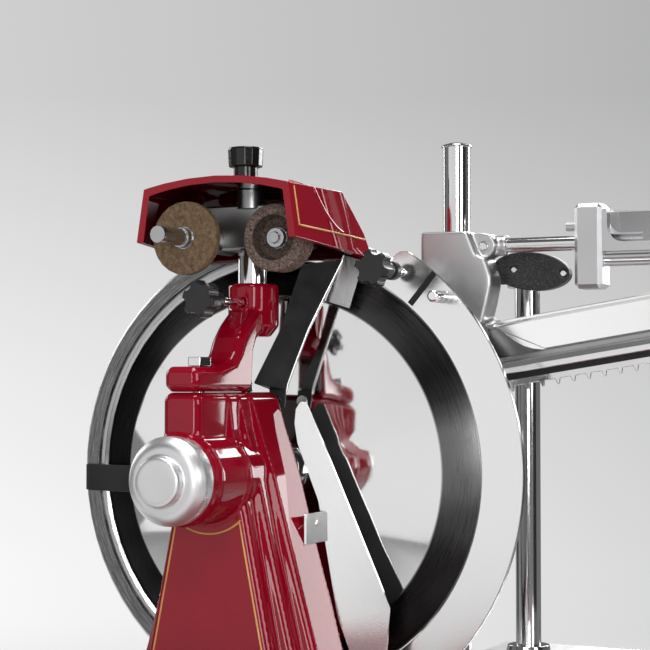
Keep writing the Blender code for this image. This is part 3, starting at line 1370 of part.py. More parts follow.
def build_ring_arm():
    """Black arm from the column to the face of the guard ring."""
    tip = -RING_OUTER + RING_EDGE / 2
    pad = -RING_OUTER + ARM_PAD_INNER
    root = -arm_root_reach()
    outline = [
        (tip, -SEAT_GAP), (pad, -SEAT_GAP), (ARM_BEND_X, ARM_BEND_REAR),
        (root - ARM_ROOT_LENGTH, ARM_ROOT_REAR), (root, ARM_ROOT_REAR), (root, ARM_ROOT_FRONT),
        (root - ARM_ROOT_LENGTH, ARM_ROOT_FRONT), (ARM_BEND_X, ARM_BEND_REAR - ARM_THICKNESS),
        (tip + ARM_TIP_STEP, ARM_TIP_FRONT),
    ]
    middle = above_axis(-ARM_DROP)
    return plate(
        "ring_arm", outline, "black_plastic", "XY", middle - ARM_HALF_HEIGHT, middle + ARM_HALF_HEIGHT
    )


def arm_root_reach():
    """Half width of the column at the bottom of the ring arm, and its seat gap."""
    height = -ARM_DROP - ARM_HALF_HEIGHT
    for i in range(len(FLARE_HEIGHTS) - 1):
        upper, lower = FLARE_HEIGHTS[i], FLARE_HEIGHTS[i + 1]
        if lower <= height <= upper:
            share = (height - lower) / (upper - lower)
            return FLARE_HALF_WIDTHS[i + 1] + share * (FLARE_HALF_WIDTHS[i] - FLARE_HALF_WIDTHS[i + 1]) + SEAT_GAP
    return COLUMN_FOOT_HALF_WIDTH + SEAT_GAP


def build_star_knob(name, place, front, shaft_end):
    """Lobed knob on a screw along Y."""
    outline = moved_outline(lobed_outline(KNOB_RADIUS, KNOB_LOBES, KNOB_LOBE_SHARE), (place[0], place[2]))
    head = plate(name, outline, "black_plastic", "XZ", front, front + KNOB_LENGTH)
    rounded(head, EDGE_ROUND, angle=KNOB_CORNER_ANGLE)
    hub_rear = front + KNOB_LENGTH + KNOB_HUB
    hub = pin_tool(
        f"{name}_hub_tool", "Y", place, KNOB_HUB_RADIUS, front + KNOB_LENGTH / 2, hub_rear, SMALL_STEPS
    )
    screw = pin_tool(
        f"{name}_screw_tool", "Y", place, SCREW_RADIUS, front + KNOB_LENGTH / 2, shaft_end, SMALL_STEPS
    )
    return add(head, hub, screw)


def build_knobs():
    """Knob that clamps the sharpener post, and knob that holds the guard plate."""
    build_star_knob(
        "post_knob", (0, 0, above_axis(POST_KNOB_HEIGHT)), POST_KNOB_FRONT, POST_Y - POST_RADIUS - SEAT_GAP
    )
    x, z = polar(GUARD_KNOB_ANGLE, GUARD_KNOB_CENTRE_RADIUS)
    build_star_knob("guard_knob", (x, 0, z), GUARD_KNOB_FRONT, GUARD_SCREW_DEPTH)


def build_sharpener_bracket():
    """Upper bracket bolted on the column, rising to the collar of the sharpener post."""
    seat = FLANGE_SEAM + SEAT_GAP
    points = [(COLUMN_FRONT, seat), (COLUMN_FRONT, BRACKET_BLOCK_TOP)]
    rise = COLLAR_TOP - BRACKET_BLOCK_TOP
    points += [(y, BRACKET_BLOCK_TOP + rise * share) for y, share in zip(BRACKET_FRONT_DEPTHS, BRACKET_FRONT_SHARES)]
    points += [(y, BRACKET_BLOCK_TOP + rise * share) for y, share in zip(BRACKET_REAR_DEPTHS, BRACKET_REAR_SHARES)]
    points.append((BRACKET_REAR, seat))
    outline = [(y, above_axis(z)) for y, z in points]
    body = plate("sharpener_bracket", outline, "red_enamel", "YZ", -BRACKET_HALF_WIDTH, BRACKET_HALF_WIDTH)
    rounded(body, CAST_ROUND)
    place = (0, POST_Y, AXIS_HEIGHT)
    collar = turned(
        "collar_tool",
        [
            (COLLAR_BOTTOM - CAST_ROUND * 2, 0),
            (COLLAR_BOTTOM - CAST_ROUND * 2, COLLAR_RADIUS - CAST_ROUND * COLLAR_FOOT_SHARE),
            (COLLAR_BOTTOM, COLLAR_RADIUS), (COLLAR_TOP - EDGE_ROUND, COLLAR_RADIUS),
            (COLLAR_TOP, COLLAR_RADIUS - EDGE_ROUND), (COLLAR_TOP, 0),
        ],
        None, "Z", place,
    )
    add(body, collar)
    bore = pin_tool(
        "post_bore_tool", "Z", place, POST_RADIUS + SEAT_GAP, POST_BOTTOM - SEAT_GAP, COLLAR_TOP + OVERRUN
    )
    screw_way = pin_tool(
        "post_screw_way_tool", "Y", (0, 0, above_axis(POST_KNOB_HEIGHT)), SCREW_RADIUS + SEAT_GAP,
        POST_Y - COLLAR_RADIUS - OVERRUN, POST_Y - POST_RADIUS / 2, SMALL_STEPS,
    )
    bolt_way = pin_tool(
        "bracket_bolt_way_tool", "Z", (0, BOLT_FRONT, 0), BOLT_RADIUS + SEAT_GAP,
        above_axis(FLANGE_SEAM) - OVERRUN, above_axis(BRACKET_BLOCK_TOP) + OVERRUN, SMALL_STEPS,
    )
    return cut(body, bore, screw_way, bolt_way)


def build_bolts():
    """Hexagon bolts of the bracket and of the column's rear end."""
    grip = BRACKET_BLOCK_TOP - FLANGE_SEAM
    places = (
        ("bracket_bolt", BOLT_FRONT, BRACKET_BLOCK_TOP, BOLT_LENGTH - OVERRUN / 2 + grip, BOLT_HEAD_RADIUS, BOLT_RADIUS),
        ("column_bolt", BOLT_REAR, FLANGE_SEAM, BOLT_LENGTH / 2 - OVERRUN / 2, REAR_BOLT_HEAD_RADIUS, REAR_BOLT_RADIUS),
    )
    for name, y, seat, depth, head_radius, radius in places:
        base = above_axis(seat) + SEAT_GAP
        outline = moved_outline(arc((0, 0), head_radius, 0, math.tau, 6)[:-1], (0, y))
        head = plate(name, outline, "polished_steel", "XY", base, base + BOLT_HEAD)
        shank = pin_tool(
            f"{name}_shank_tool", "Z", (0, y, 0), radius, above_axis(seat) - depth + SEAT_GAP,
            base + BOLT_HEAD / 2,
            SMALL_STEPS,
        )
        add(head, shank)


def build_sharpener_head():
    """Post, head casting and both spindles."""
    place = (0, POST_Y, AXIS_HEIGHT)
    top = HEAD_BOTTOM - SEAT_GAP
    post = [
        (POST_BOTTOM, 0), (POST_BOTTOM, POST_RADIUS - EDGE_ROUND), (POST_BOTTOM + EDGE_ROUND, POST_RADIUS),
        (top, POST_RADIUS), (top, 0),
    ]
    turned("sharpener_post", post, "polished_steel", "Z", place)
    head = block(
        "sharpener_head", (HEAD_LEFT, HEAD_FRONT, above_axis(HEAD_BOTTOM)),
        (HEAD_RIGHT, HEAD_REAR, above_axis(HEAD_TOP)),
        "satin_aluminium",
    )
    rounded(head, EDGE_ROUND)
    ceiling = cover_ceiling() - HEAD_BOSS_GAP
    boss = pin_tool(
        "head_boss_tool", "Z", (0, COVER_KNOB_Y + HEAD_BOSS_RADIUS, AXIS_HEIGHT), HEAD_BOSS_RADIUS,
        HEAD_TOP - EDGE_ROUND * 2, ceiling, ROUND_STEPS
    )
    stone_boss = pin_tool(
        "stone_boss_tool", "Y", (FLAT_STONE_X, 0, above_axis(STONE_HEIGHT)), SPINDLE_BOSS_RADIUS,
        SPINDLE_BOSS_FRONT, HEAD_REAR - EDGE_ROUND, SMALL_STEPS,
    )
    add(head, boss, stone_boss)
    for i, x in enumerate((FLAT_STONE_X, CUP_STONE_X)):
        bore = pin_tool(
            f"head_bore_{i}_tool", "Y", (x, 0, above_axis(STONE_HEIGHT)), SPINDLE_SHAFT_RADIUS + RUN_GAP,
            SPINDLE_BOSS_FRONT - OVERRUN, HEAD_REAR + OVERRUN, SMALL_STEPS,
        )
        cut(head, bore)
    build_stones()


def build_stones():
    """Flat stone on its push pin and cup stone on its fixed spindle."""
    flat_place = (FLAT_STONE_X, 0, above_axis(STONE_HEIGHT))
    nut_rear = FLAT_STONE_FRONT - RUN_GAP
    pin = [
        (PUSH_PIN_FRONT, 0), (PUSH_PIN_FRONT, PUSH_PIN_RADIUS), (nut_rear - PUSH_NUT, PUSH_PIN_RADIUS),
        (nut_rear - PUSH_NUT, PUSH_NUT_RADIUS), (nut_rear, PUSH_NUT_RADIUS), (nut_rear, SPINDLE_SHAFT_RADIUS),
        (SPINDLE_SHAFT_REAR, SPINDLE_SHAFT_RADIUS), (SPINDLE_SHAFT_REAR, 0),
    ]
    turned("push_pin", pin, "polished_steel", "Y", flat_place, SMALL_STEPS)
    bore = SPINDLE_SHAFT_RADIUS + RUN_GAP
    rear = FLAT_STONE_FRONT + FLAT_STONE_THICKNESS
    flat = [
        (FLAT_STONE_FRONT, bore), (FLAT_STONE_FRONT, FLAT_STONE_RADIUS - EDGE_ROUND / 2),
        (FLAT_STONE_FRONT + EDGE_ROUND / 2, FLAT_STONE_RADIUS), (rear, FLAT_STONE_RADIUS), (rear, bore),
    ]
    turned("flat_stone", flat, "tan_stone", "Y", flat_place, ring=True)
    cup_place = (CUP_STONE_X, 0, above_axis(STONE_HEIGHT))
    recess = CUP_STONE_FRONT + CUP_RECESS_DEPTH
    rear = CUP_STONE_FRONT + CUP_STONE_DEPTH
    cup = [
        (recess, bore), (recess, CUP_RECESS_RADIUS - EDGE_ROUND), (CUP_STONE_FRONT, CUP_RECESS_RADIUS),
        (CUP_STONE_FRONT, CUP_STONE_RADIUS - EDGE_ROUND), (CUP_STONE_FRONT + EDGE_ROUND, CUP_STONE_RADIUS),
        (rear, CUP_STONE_RADIUS), (rear, bore),
    ]
    turned("cup_stone", cup, "brown_stone", "Y", cup_place, ring=True)
    nut_rear = recess - RUN_GAP
    nut_front = nut_rear - CUP_NUT
    spindle = [
        (nut_front - CUP_STEM, 0), (nut_front - CUP_STEM, SPINDLE_SHAFT_RADIUS),
        (nut_front, SPINDLE_SHAFT_RADIUS),
        (nut_front, CUP_NUT_RADIUS), (nut_rear, CUP_NUT_RADIUS), (nut_rear, SPINDLE_SHAFT_RADIUS),
        (SPINDLE_SHAFT_REAR, SPINDLE_SHAFT_RADIUS), (SPINDLE_SHAFT_REAR, 0),
    ]
    turned("cup_stone_spindle", spindle, "polished_steel", "Y", cup_place, SMALL_STEPS)


def cover_section(y, index, wall=0.0, drop=0.0):
    """Outline of the sharpener cover at one depth, as 3-D points."""
    widen = COVER_TOP_HALF_SHARES[index]
    half_top = COVER_HALF_TOP * widen - wall
    half_bottom = COVER_HALF_BOTTOM * widen - wall
    shoulder = STONE_HEIGHT + COVER_SHOULDER_LIFTS[index] - wall
    bottom = STONE_HEIGHT - COVER_BOTTOM_DROPS[index] - drop
    points = [(half_bottom, y, above_axis(bottom))]
    for i in range(COVER_ARCH_STEPS + 1):
        place = math.cos(math.pi * i / COVER_ARCH_STEPS)
        rise = COVER_CROWN * (1 - place * place)
        points.append((half_top * place, y, above_axis(shoulder + rise)))
    points.append((-half_bottom, y, above_axis(bottom)))
    return points


def cover_ceiling():
    """Height of the cover's inner ceiling on its middle line, above the blade axis."""
    return STONE_HEIGHT + COVER_SHOULDER_LIFTS[0] + COVER_CROWN - COVER_WALL


def build_cover():
    """Shell over the stones, open in front and below, and the knob that holds it."""
    depths = (COVER_FRONT, COVER_MIDDLE, COVER_REAR)
    outer = lofted(
        "sharpener_cover", [cover_section(y, i) for i, y in enumerate(depths)], "red_enamel", smooth=False
    )
    inner_depths = (COVER_FRONT - OVERRUN, COVER_MIDDLE - COVER_WALL / 2, COVER_REAR - COVER_WALL)
    inner = lofted(
        "cover_room_tool",
        [cover_section(y, i, COVER_WALL, OVERRUN * 2) for i, y in enumerate(inner_depths)],
        None, smooth=False,
    )
    cut(outer, inner)
    top = STONE_HEIGHT + COVER_SHOULDER_LIFTS[0] + COVER_CROWN
    outline = moved_outline(
        lobed_outline(COVER_KNOB_RADIUS, COVER_KNOB_LOBES, KNOB_LOBE_SHARE / 2, COVER_KNOB_POINTS),
        (0, COVER_KNOB_Y)
    )
    head = plate(
        "cover_knob", outline, "black_plastic", "XY", above_axis(COVER_KNOB_HEAD_BOTTOM), above_axis(
            COVER_KNOB_TOP
        )
    )
    rounded(head, EDGE_ROUND, angle=KNOB_CORNER_ANGLE)
    neck = pin_tool(
        "cover_knob_neck_tool", "Z", (0, COVER_KNOB_Y, AXIS_HEIGHT), COVER_KNOB_NECK_RADIUS, top + SEAT_GAP,
        (COVER_KNOB_HEAD_BOTTOM + COVER_KNOB_TOP) / 2, ROUND_STEPS,
    )
    return add(head, neck)


def strip(name, first_edge, second_edge, thickness, look):
    """A thin plate between two edges of equally many points."""
    shape = bmesh.new()
    near = [shape.verts.new((x, y, above_axis(z))) for x, y, z in first_edge]
    far = [shape.verts.new((x, y, above_axis(z))) for x, y, z in second_edge]
    for i in range(len(near) - 1):
        shape.faces.new((near[i], near[i + 1], far[i + 1], far[i]))
    obj = add_mesh(name, shape, look, smooth=False)
    solid = obj.modifiers.new("Thickness", "SOLIDIFY")
    solid.thickness = thickness
    solid.offset = 0
    return obj


def build_deflectors():
    """Swinging upper deflector on its pin, and the fixed lower deflector with the flange that holds it."""
    upper = strip(
        "upper_deflector", UPPER_DEFLECTOR_RIGHT, UPPER_DEFLECTOR_LEFT, DEFLECTOR_THICKNESS, "polished_steel"
    )
    place = (DEFLECTOR_PIN_X, 0, above_axis(DEFLECTOR_PIN_HEIGHT))
    front = COLUMN_REAR - DEFLECTOR_PIN_DEPTH
    head = DEFLECTOR_PIN_HEAD_FRONT
    pin = [
        (front, 0), (front, DEFLECTOR_PIN_RADIUS), (head, DEFLECTOR_PIN_RADIUS),
        (head, DEFLECTOR_PIN_HEAD_RADIUS),
        (head + DEFLECTOR_PIN_HEAD, DEFLECTOR_PIN_HEAD_RADIUS), (head + DEFLECTOR_PIN_HEAD, 0),
    ]
    turned("deflector_pin", pin, "polished_steel", "Y", place, SMALL_STEPS)
    hole = pin_tool(
        "deflector_hole_tool", "Y", place, DEFLECTOR_PIN_RADIUS + SEAT_GAP, COLUMN_REAR, head + OVERRUN,
        SMALL_STEPS
    )
    cut(upper, hole)
    outline = [(x, above_axis(z)) for x, z in LOWER_DEFLECTOR_OUTLINE]
    rear = LOWER_DEFLECTOR_FRONT + DEFLECTOR_THICKNESS
    lower = plate("lower_deflector", outline, "polished_steel", "XZ", LOWER_DEFLECTOR_FRONT, rear)
    inset = DEFLECTOR_THICKNESS / 8
    flange = block(
        "flange_tool", (FLANGE_LEFT, FLANGE_FRONT, above_axis(FLANGE_BOTTOM)),
        (FLANGE_LEFT + DEFLECTOR_THICKNESS, rear - inset, above_axis(FLANGE_TOP)), None,
    )
    screw = pin_tool(
        "flange_screw_tool", "X", (0, FLANGE_SCREW_Y, above_axis(FLANGE_SCREW_HEIGHT)), FLANGE_SCREW_RADIUS,
        FLANGE_SCREW_LEFT, FLANGE_LEFT + DEFLECTOR_THICKNESS * 3 / 2, SMALL_STEPS,
    )
    return add(lower, flange, screw)


def build_rails():
    """Two rails along X and the bracket at each end."""
    for name, y in (("rail_front", FRONT_RAIL_Y), ("rail_rear", REAR_RAIL_Y)):
        profile = [(RAIL_LEFT, 0), (RAIL_LEFT, RAIL_RADIUS), (RAIL_RIGHT, RAIL_RADIUS), (RAIL_RIGHT, 0)]
        turned(name, profile, "polished_steel", "X", (0, y, RAIL_HEIGHT), ROUND_STEPS)
    places = (
        ("rail_bracket_left", RAIL_BRACKET_LEFT, RAIL_BRACKET_LEFT + RAIL_BRACKET_WIDTH),
        ("rail_bracket_right", RAIL_BRACKET_RIGHT - RAIL_BRACKET_WIDTH, RAIL_BRACKET_RIGHT),
    )
    for name, left, right in places:
        bracket = block(
            name, (left, FRONT_RAIL_Y - RAIL_BRACKET_MARGIN, DECK_HEIGHT + SEAT_GAP),
            (right, REAR_RAIL_Y + RAIL_BRACKET_MARGIN, RAIL_BRACKET_TOP), "satin_aluminium",
        )
        rounded(bracket, EDGE_ROUND)
        for i, y in enumerate((FRONT_RAIL_Y, REAR_RAIL_Y)):
            bore = pin_tool(
                f"{name}_bore_{i}_tool", "X", (0, y, RAIL_HEIGHT), RAIL_RADIUS + SEAT_GAP, left - OVERRUN,
                right + OVERRUN, ROUND_STEPS
            )
            cut(bracket, bore)


def build_carriage():
    """Carriage casting on the rails, with its screw blocks, drive bracket and dial boss."""
    body = block(
        "carriage", (CARRIAGE_LEFT, CARRIAGE_FRONT, CARRIAGE_BOTTOM),
        (CARRIAGE_RIGHT, CARRIAGE_REAR, CARRIAGE_TOP),
        "satin_aluminium",
    )
    sunk = CARRIAGE_BOTTOM + (CARRIAGE_TOP - CARRIAGE_BOTTOM) / 2
    tools = []
    for i, (x, y) in enumerate((x, y) for x in (BEARING_LEFT_X, BEARING_RIGHT_X) for y in (FRONT_RAIL_Y, REAR_RAIL_Y)):
        half = BEARING_LENGTH / 2
        tools.append(block(
            f"bearing_{i}_tool", (x - half, y - BEARING_HALF_WIDTH, BEARING_BOTTOM),
            (x + half, y + BEARING_HALF_WIDTH, sunk), None
        ))
    strip_top = TABLE_BOTTOM - SEAT_GAP
    for i, left in enumerate((CARRIAGE_LEFT + STRIP_INSET, CARRIAGE_RIGHT - STRIP_INSET - STRIP_WIDTH)):
        tools.append(block(
            f"strip_{i}_tool", (left, CARRIAGE_FRONT + EDGE_ROUND, sunk),
            (left + STRIP_WIDTH, CARRIAGE_REAR - EDGE_ROUND, strip_top), None
        ))
    tools += screw_blocks(sunk) + drive_bracket(sunk)
    tools.append(block(
        "dial_boss_tool", (DIAL_X - DIAL_BOSS_HALF_WIDTH, CARRIAGE_FRONT - EDGE_ROUND, DIAL_BOSS_BOTTOM),
        (DIAL_X + DIAL_BOSS_HALF_WIDTH, DIAL_BOSS_REAR, sunk), None,
    ))
    add(body, *tools)
    cutters = []
    for i, y in enumerate((FRONT_RAIL_Y, REAR_RAIL_Y)):
        cutters.append(pin_tool(
            f"rail_bore_{i}_tool", "X", (0, y, RAIL_HEIGHT), RAIL_RADIUS + RUN_GAP, CARRIAGE_LEFT - OVERRUN,
            CARRIAGE_RIGHT + OVERRUN, ROUND_STEPS,
        ))
    cutters.append(pin_tool(
        "screw_bore_tool", "Y", (LEAD_SCREW_X, 0, LEAD_SCREW_HEIGHT), LEAD_SCREW_RADIUS + RUN_GAP,
        LEAD_SCREW_FRONT - RUN_GAP, SCREW_TAIL_REAR + OVERRUN, SMALL_STEPS,
    ))
    slot_x = drive_bracket_x()
    cutters.append(block(
        "drive_slot_tool", (slot_x - DRIVE_SLOT_HALF_WIDTH, DRIVE_BRACKET_FRONT - OVERRUN, DRIVE_SLOT_BOTTOM),
        (slot_x + DRIVE_SLOT_HALF_WIDTH, DRIVE_BRACKET_FRONT + DRIVE_BRACKET_THICKNESS + OVERRUN, DRIVE_SLOT_TOP), None,
    ))
    cutters.append(pin_tool(
        "dial_bore_tool", "Y", (DIAL_X, 0, DIAL_HEIGHT), SCREW_RADIUS + RUN_GAP, CARRIAGE_FRONT - OVERRUN,
        DIAL_BOSS_REAR + OVERRUN, SMALL_STEPS,
    ))
    return cut(body, *cutters)


def screw_blocks(sunk):
    """Bearing blocks of the lead screw, and the tail that carries the rear one."""
    low_x = LEAD_SCREW_X - SCREW_BLOCK_HALF_WIDTH
    high_x = LEAD_SCREW_X + SCREW_BLOCK_HALF_WIDTH
    front = CARRIAGE_FRONT + EDGE_ROUND / 2
    tail = block(
        "tail_tool", (low_x, CARRIAGE_REAR - OVERRUN, CARRIAGE_BOTTOM + EDGE_ROUND / 2),
        (high_x, SCREW_TAIL_REAR, CARRIAGE_TOP - EDGE_ROUND / 2), None,
    )
    front_block = block(
        "screw_front_tool", (low_x, front, sunk), (high_x, front + SCREW_BLOCK_LENGTH, SCREW_BLOCK_TOP), None
    )
    rear_block = block(
        "screw_rear_tool", (low_x + EDGE_ROUND, SCREW_TAIL_REAR - SCREW_BLOCK_LENGTH, sunk),
        (high_x - EDGE_ROUND, SCREW_TAIL_REAR - EDGE_ROUND, SCREW_BLOCK_TOP), None,
    )
    return [tail, front_block, rear_block]


def drive_bracket_x():
    """At rest the swing arm leans fully to the right, with its tip pin in the bracket's slot."""
    return FLYWHEEL_X + SWING_LENGTH * math.sin(SWING_REST_ANGLE)


def drive_bracket(sunk):
    """Slotted plate that hangs through the deck, and its link to the carriage."""
    x = drive_bracket_x()
    left = x - DRIVE_BRACKET_HALF_WIDTH
    right = x + DRIVE_BRACKET_HALF_WIDTH
    rear = DRIVE_BRACKET_FRONT + DRIVE_BRACKET_THICKNESS
    hanger = block(
        "drive_hanger_tool", (left, DRIVE_BRACKET_FRONT, DRIVE_BRACKET_BOTTOM),
        (right, rear, DRIVE_BRACKET_TOP), None
    )
    shelf = block(
        "drive_shelf_tool", (left + EDGE_ROUND, rear - OVERRUN, DRIVE_SLOT_TOP + EDGE_ROUND),
        (right - EDGE_ROUND, CARRIAGE_FRONT + BEARING_HALF_WIDTH, DRIVE_BRACKET_TOP - EDGE_ROUND), None,
    )
    riser = block(
        "drive_riser_tool",
        (left + EDGE_ROUND * 2, CARRIAGE_FRONT + EDGE_ROUND, DRIVE_SLOT_TOP + EDGE_ROUND * 2),
        (right - EDGE_ROUND * 2, CARRIAGE_FRONT + BEARING_HALF_WIDTH - EDGE_ROUND, sunk), None,
    )
    return [hanger, shelf, riser]


def build_table():
    """Meat table that slides on the carriage, with the nut of the lead screw under it."""
    left = CARRIAGE_LEFT - RUN_GAP - TABLE_SKIRT
    right = CARRIAGE_RIGHT + RUN_GAP + TABLE_SKIRT
    table = block(
        "meat_table", (left, TABLE_FRONT, TABLE_BOTTOM), (right, TABLE_REAR, TABLE_TOP), "polished_steel"
    )
    rounded(table, EDGE_ROUND)
    tools = []
    middle = (TABLE_BOTTOM + TABLE_TOP) / 2
    inset = EDGE_ROUND
    for i, start in enumerate((left, right - TABLE_SKIRT)):
        tools.append(block(
            f"skirt_{i}_tool", (start, TABLE_FRONT + inset, TABLE_SKIRT_BOTTOM),
            (start + TABLE_SKIRT, TABLE_REAR - inset, middle), None,
        ))
    tools.append(block(
        "nut_tool", (LEAD_SCREW_X - SCREW_BLOCK_HALF_WIDTH, NUT_FRONT, NUT_BOTTOM),
        (LEAD_SCREW_X + SCREW_BLOCK_HALF_WIDTH, NUT_REAR, middle), None,
    ))
    add(table, *tools)
    bore = pin_tool(
        "nut_bore_tool", "Y", (LEAD_SCREW_X, 0, LEAD_SCREW_HEIGHT), LEAD_SCREW_RADIUS + RUN_GAP,
        NUT_FRONT - OVERRUN, NUT_REAR + OVERRUN, SMALL_STEPS,
    )
    return cut(table, bore)


def build_feed():
    """Lead screw with its handwheel, and the thickness dial."""
    place = (LEAD_SCREW_X, 0, LEAD_SCREW_HEIGHT)
    screw = [
        (LEAD_SCREW_FRONT, 0), (LEAD_SCREW_FRONT, LEAD_SCREW_RADIUS), (LEAD_SCREW_REAR, LEAD_SCREW_RADIUS),
        (LEAD_SCREW_REAR, 0)
    ]
    turned("lead_screw", screw, "polished_steel", "Y", place, SMALL_STEPS)
    bore = LEAD_SCREW_RADIUS + SEAT_GAP
    edge = EDGE_ROUND
    wheel = [
        (HANDWHEEL_FRONT, bore), (HANDWHEEL_FRONT, HANDWHEEL_RADIUS - edge),
        (HANDWHEEL_FRONT + edge, HANDWHEEL_RADIUS),
        (HANDWHEEL_REAR - edge, HANDWHEEL_RADIUS), (HANDWHEEL_REAR, HANDWHEEL_RADIUS - edge * 2),
        (HANDWHEEL_REAR - edge * 2, HANDWHEEL_HUB_RADIUS),
        (HANDWHEEL_REAR + edge * 2, HANDWHEEL_HUB_RADIUS - edge),
        (HANDWHEEL_REAR + edge * 2, bore),
    ]
    turned("feed_handwheel", wheel, "black_plastic", "Y", place, WHEEL_STEPS, ring=True)
    boss_face = CARRIAGE_FRONT - EDGE_ROUND
    dial = [
        (DIAL_FRONT, 0), (DIAL_FRONT, DIAL_GRIP_RADIUS - edge), (DIAL_FRONT + edge, DIAL_GRIP_RADIUS),
        (boss_face - SEAT_GAP - DIAL_SKIRT * 2, DIAL_GRIP_RADIUS),
        (boss_face - SEAT_GAP - DIAL_SKIRT, DIAL_RADIUS),
        (boss_face - SEAT_GAP, DIAL_RADIUS), (boss_face - SEAT_GAP, SCREW_RADIUS),
        (DIAL_BOSS_REAR, SCREW_RADIUS), (DIAL_BOSS_REAR, 0),
    ]
    turned("thickness_dial", dial, "satin_aluminium", "Y", (DIAL_X, 0, DIAL_HEIGHT), WHEEL_STEPS)


def build_press_columns():
    """Two polished columns on the meat table."""
    places = (
        ("press_column_front", FRONT_COLUMN_X, FRONT_COLUMN_Y, FRONT_COLUMN_TOP),
        ("press_column_rear", REAR_COLUMN_X, REAR_COLUMN_Y, REAR_COLUMN_TOP),
    )
    for name, x, y, height in places:
        foot = TABLE_TOP + SEAT_GAP
        top = above_axis(height)
        cap = PRESS_COLUMN_RADIUS + COLUMN_CAP_OVERHANG
        profile = [
            (foot, 0), (foot, COLUMN_FLANGE_RADIUS),
            (foot + COLUMN_FLANGE, COLUMN_FLANGE_RADIUS - EDGE_ROUND),
            (foot + COLUMN_FLANGE, PRESS_COLUMN_RADIUS), (top - COLUMN_CAP_HEIGHT, PRESS_COLUMN_RADIUS),
            (top - COLUMN_CAP_HEIGHT, cap), (top - COLUMN_CAP_HEIGHT / 2, cap - COLUMN_CAP_OVERHANG / 2),
            (top, cap / 2), (top, 0),
        ]
        turned(name, profile, "polished_steel", "Z", (x, y, 0), ROUND_STEPS)


def build_press_bracket():
    """Casting that slides on the front column, steadied by an eye on the rear one, with the rod's ear."""
    outline = [(x, above_axis(z)) for x, z in PRESS_OUTLINE]
    body = plate("press_bracket", outline, "satin_aluminium", "XZ", PRESS_FRONT, PRESS_REAR)
    rounded(body, EDGE_ROUND * 2)
    front_place = (FRONT_COLUMN_X, FRONT_COLUMN_Y, AXIS_HEIGHT)
    rear_place = (REAR_COLUMN_X, REAR_COLUMN_Y, AXIS_HEIGHT)
    sleeve = pin_tool("sleeve_tool", "Z", front_place, SLEEVE_RADIUS, SLEEVE_BOTTOM, PRESS_TOP - EDGE_ROUND)
    ear_centre = (EAR_CENTRE_X, above_axis(ROD_HEIGHT))
    ear_outline = capsule((FRONT_COLUMN_X, ear_centre[1]), ear_centre, EAR_RADIUS, EAR_RADIUS, WINDOW_STEPS)
    ear = plate("ear_tool", ear_outline, None, "XZ", EAR_FRONT, EAR_REAR)
    socket = pin_tool(
        "socket_tool", "X", (0, FRONT_COLUMN_Y, ear_centre[1]), SOCKET_RADIUS, EAR_CENTRE_X,
        EAR_RIGHT + SOCKET_LENGTH, SMALL_STEPS,
    )
    crossbar = block(
        "crossbar_tool", (FRONT_COLUMN_X - CROSSBAR_HALF_WIDTH, FRONT_COLUMN_Y, above_axis(CROSSBAR_BOTTOM)),
        (REAR_COLUMN_X + CROSSBAR_HALF_WIDTH, REAR_COLUMN_Y, above_axis(CROSSBAR_TOP)), None,
    )
    eye = pin_tool(
        "eye_tool", "Z", rear_place, EYE_RADIUS, CROSSBAR_BOTTOM - EDGE_ROUND * 2,
        CROSSBAR_TOP + EDGE_ROUND, ROUND_STEPS
    )
    tongue = block(
        "tongue_tool", (TONGUE_LEFT, TONGUE_FRONT, above_axis(TONGUE_BOTTOM)),
        (TONGUE_RIGHT, TONGUE_REAR, above_axis(TONGUE_TOP)), None,
    )
    add(body, sleeve, ear, socket, crossbar, eye, tongue)
    front_bore = pin_tool(
        "front_column_bore_tool", "Z", front_place, PRESS_COLUMN_RADIUS + RUN_GAP,
        SLEEVE_BOTTOM - PRESS_TOP, PRESS_TOP + OVERRUN
    )
    rear_bore = pin_tool(
        "rear_column_bore_tool", "Z", rear_place, PRESS_COLUMN_RADIUS + RUN_GAP,
        CROSSBAR_BOTTOM - OVERRUN * 2,
        CROSSBAR_TOP + OVERRUN * 2,
    )
    rod_bore = pin_tool(
        "rod_bore_tool", "X", (0, FRONT_COLUMN_Y, above_axis(ROD_HEIGHT)), ROD_RADIUS + SEAT_GAP,
        EAR_RIGHT - EAR_RADIUS, EAR_RIGHT + SOCKET_LENGTH + OVERRUN, SMALL_STEPS,
    )
    pivot_bore = pin_tool(
        "pad_pivot_bore_tool", "Y", (PAD_PIVOT_X, 0, above_axis(PAD_PIVOT_HEIGHT)), SCREW_RADIUS + RUN_GAP,
        PRESS_REAR - OVERRUN * 2, PRESS_REAR + OVERRUN, SMALL_STEPS,
    )
    cut(body, front_bore, rear_bore, rod_bore, pivot_bore)
    rod = [
        (EAR_RIGHT - EAR_RADIUS + SEAT_GAP, 0), (EAR_RIGHT - EAR_RADIUS + SEAT_GAP, ROD_RADIUS),
        (ROD_RIGHT, ROD_RADIUS), (ROD_RIGHT, 0),
    ]
    turned("press_rod", rod, "polished_steel", "X", (0, FRONT_COLUMN_Y, above_axis(ROD_HEIGHT)), ROD_STEPS)


def arm_frame():
    """Matrix of the tilted press arm: local X along the arm, from its lower left corner."""
    tilt = Matrix.Rotation(-PRESS_ARM_TILT, 4, "Y")
    return Matrix.Translation((PRESS_ARM_LEFT, 0, above_axis(PRESS_ARM_FOOT))) @ tilt


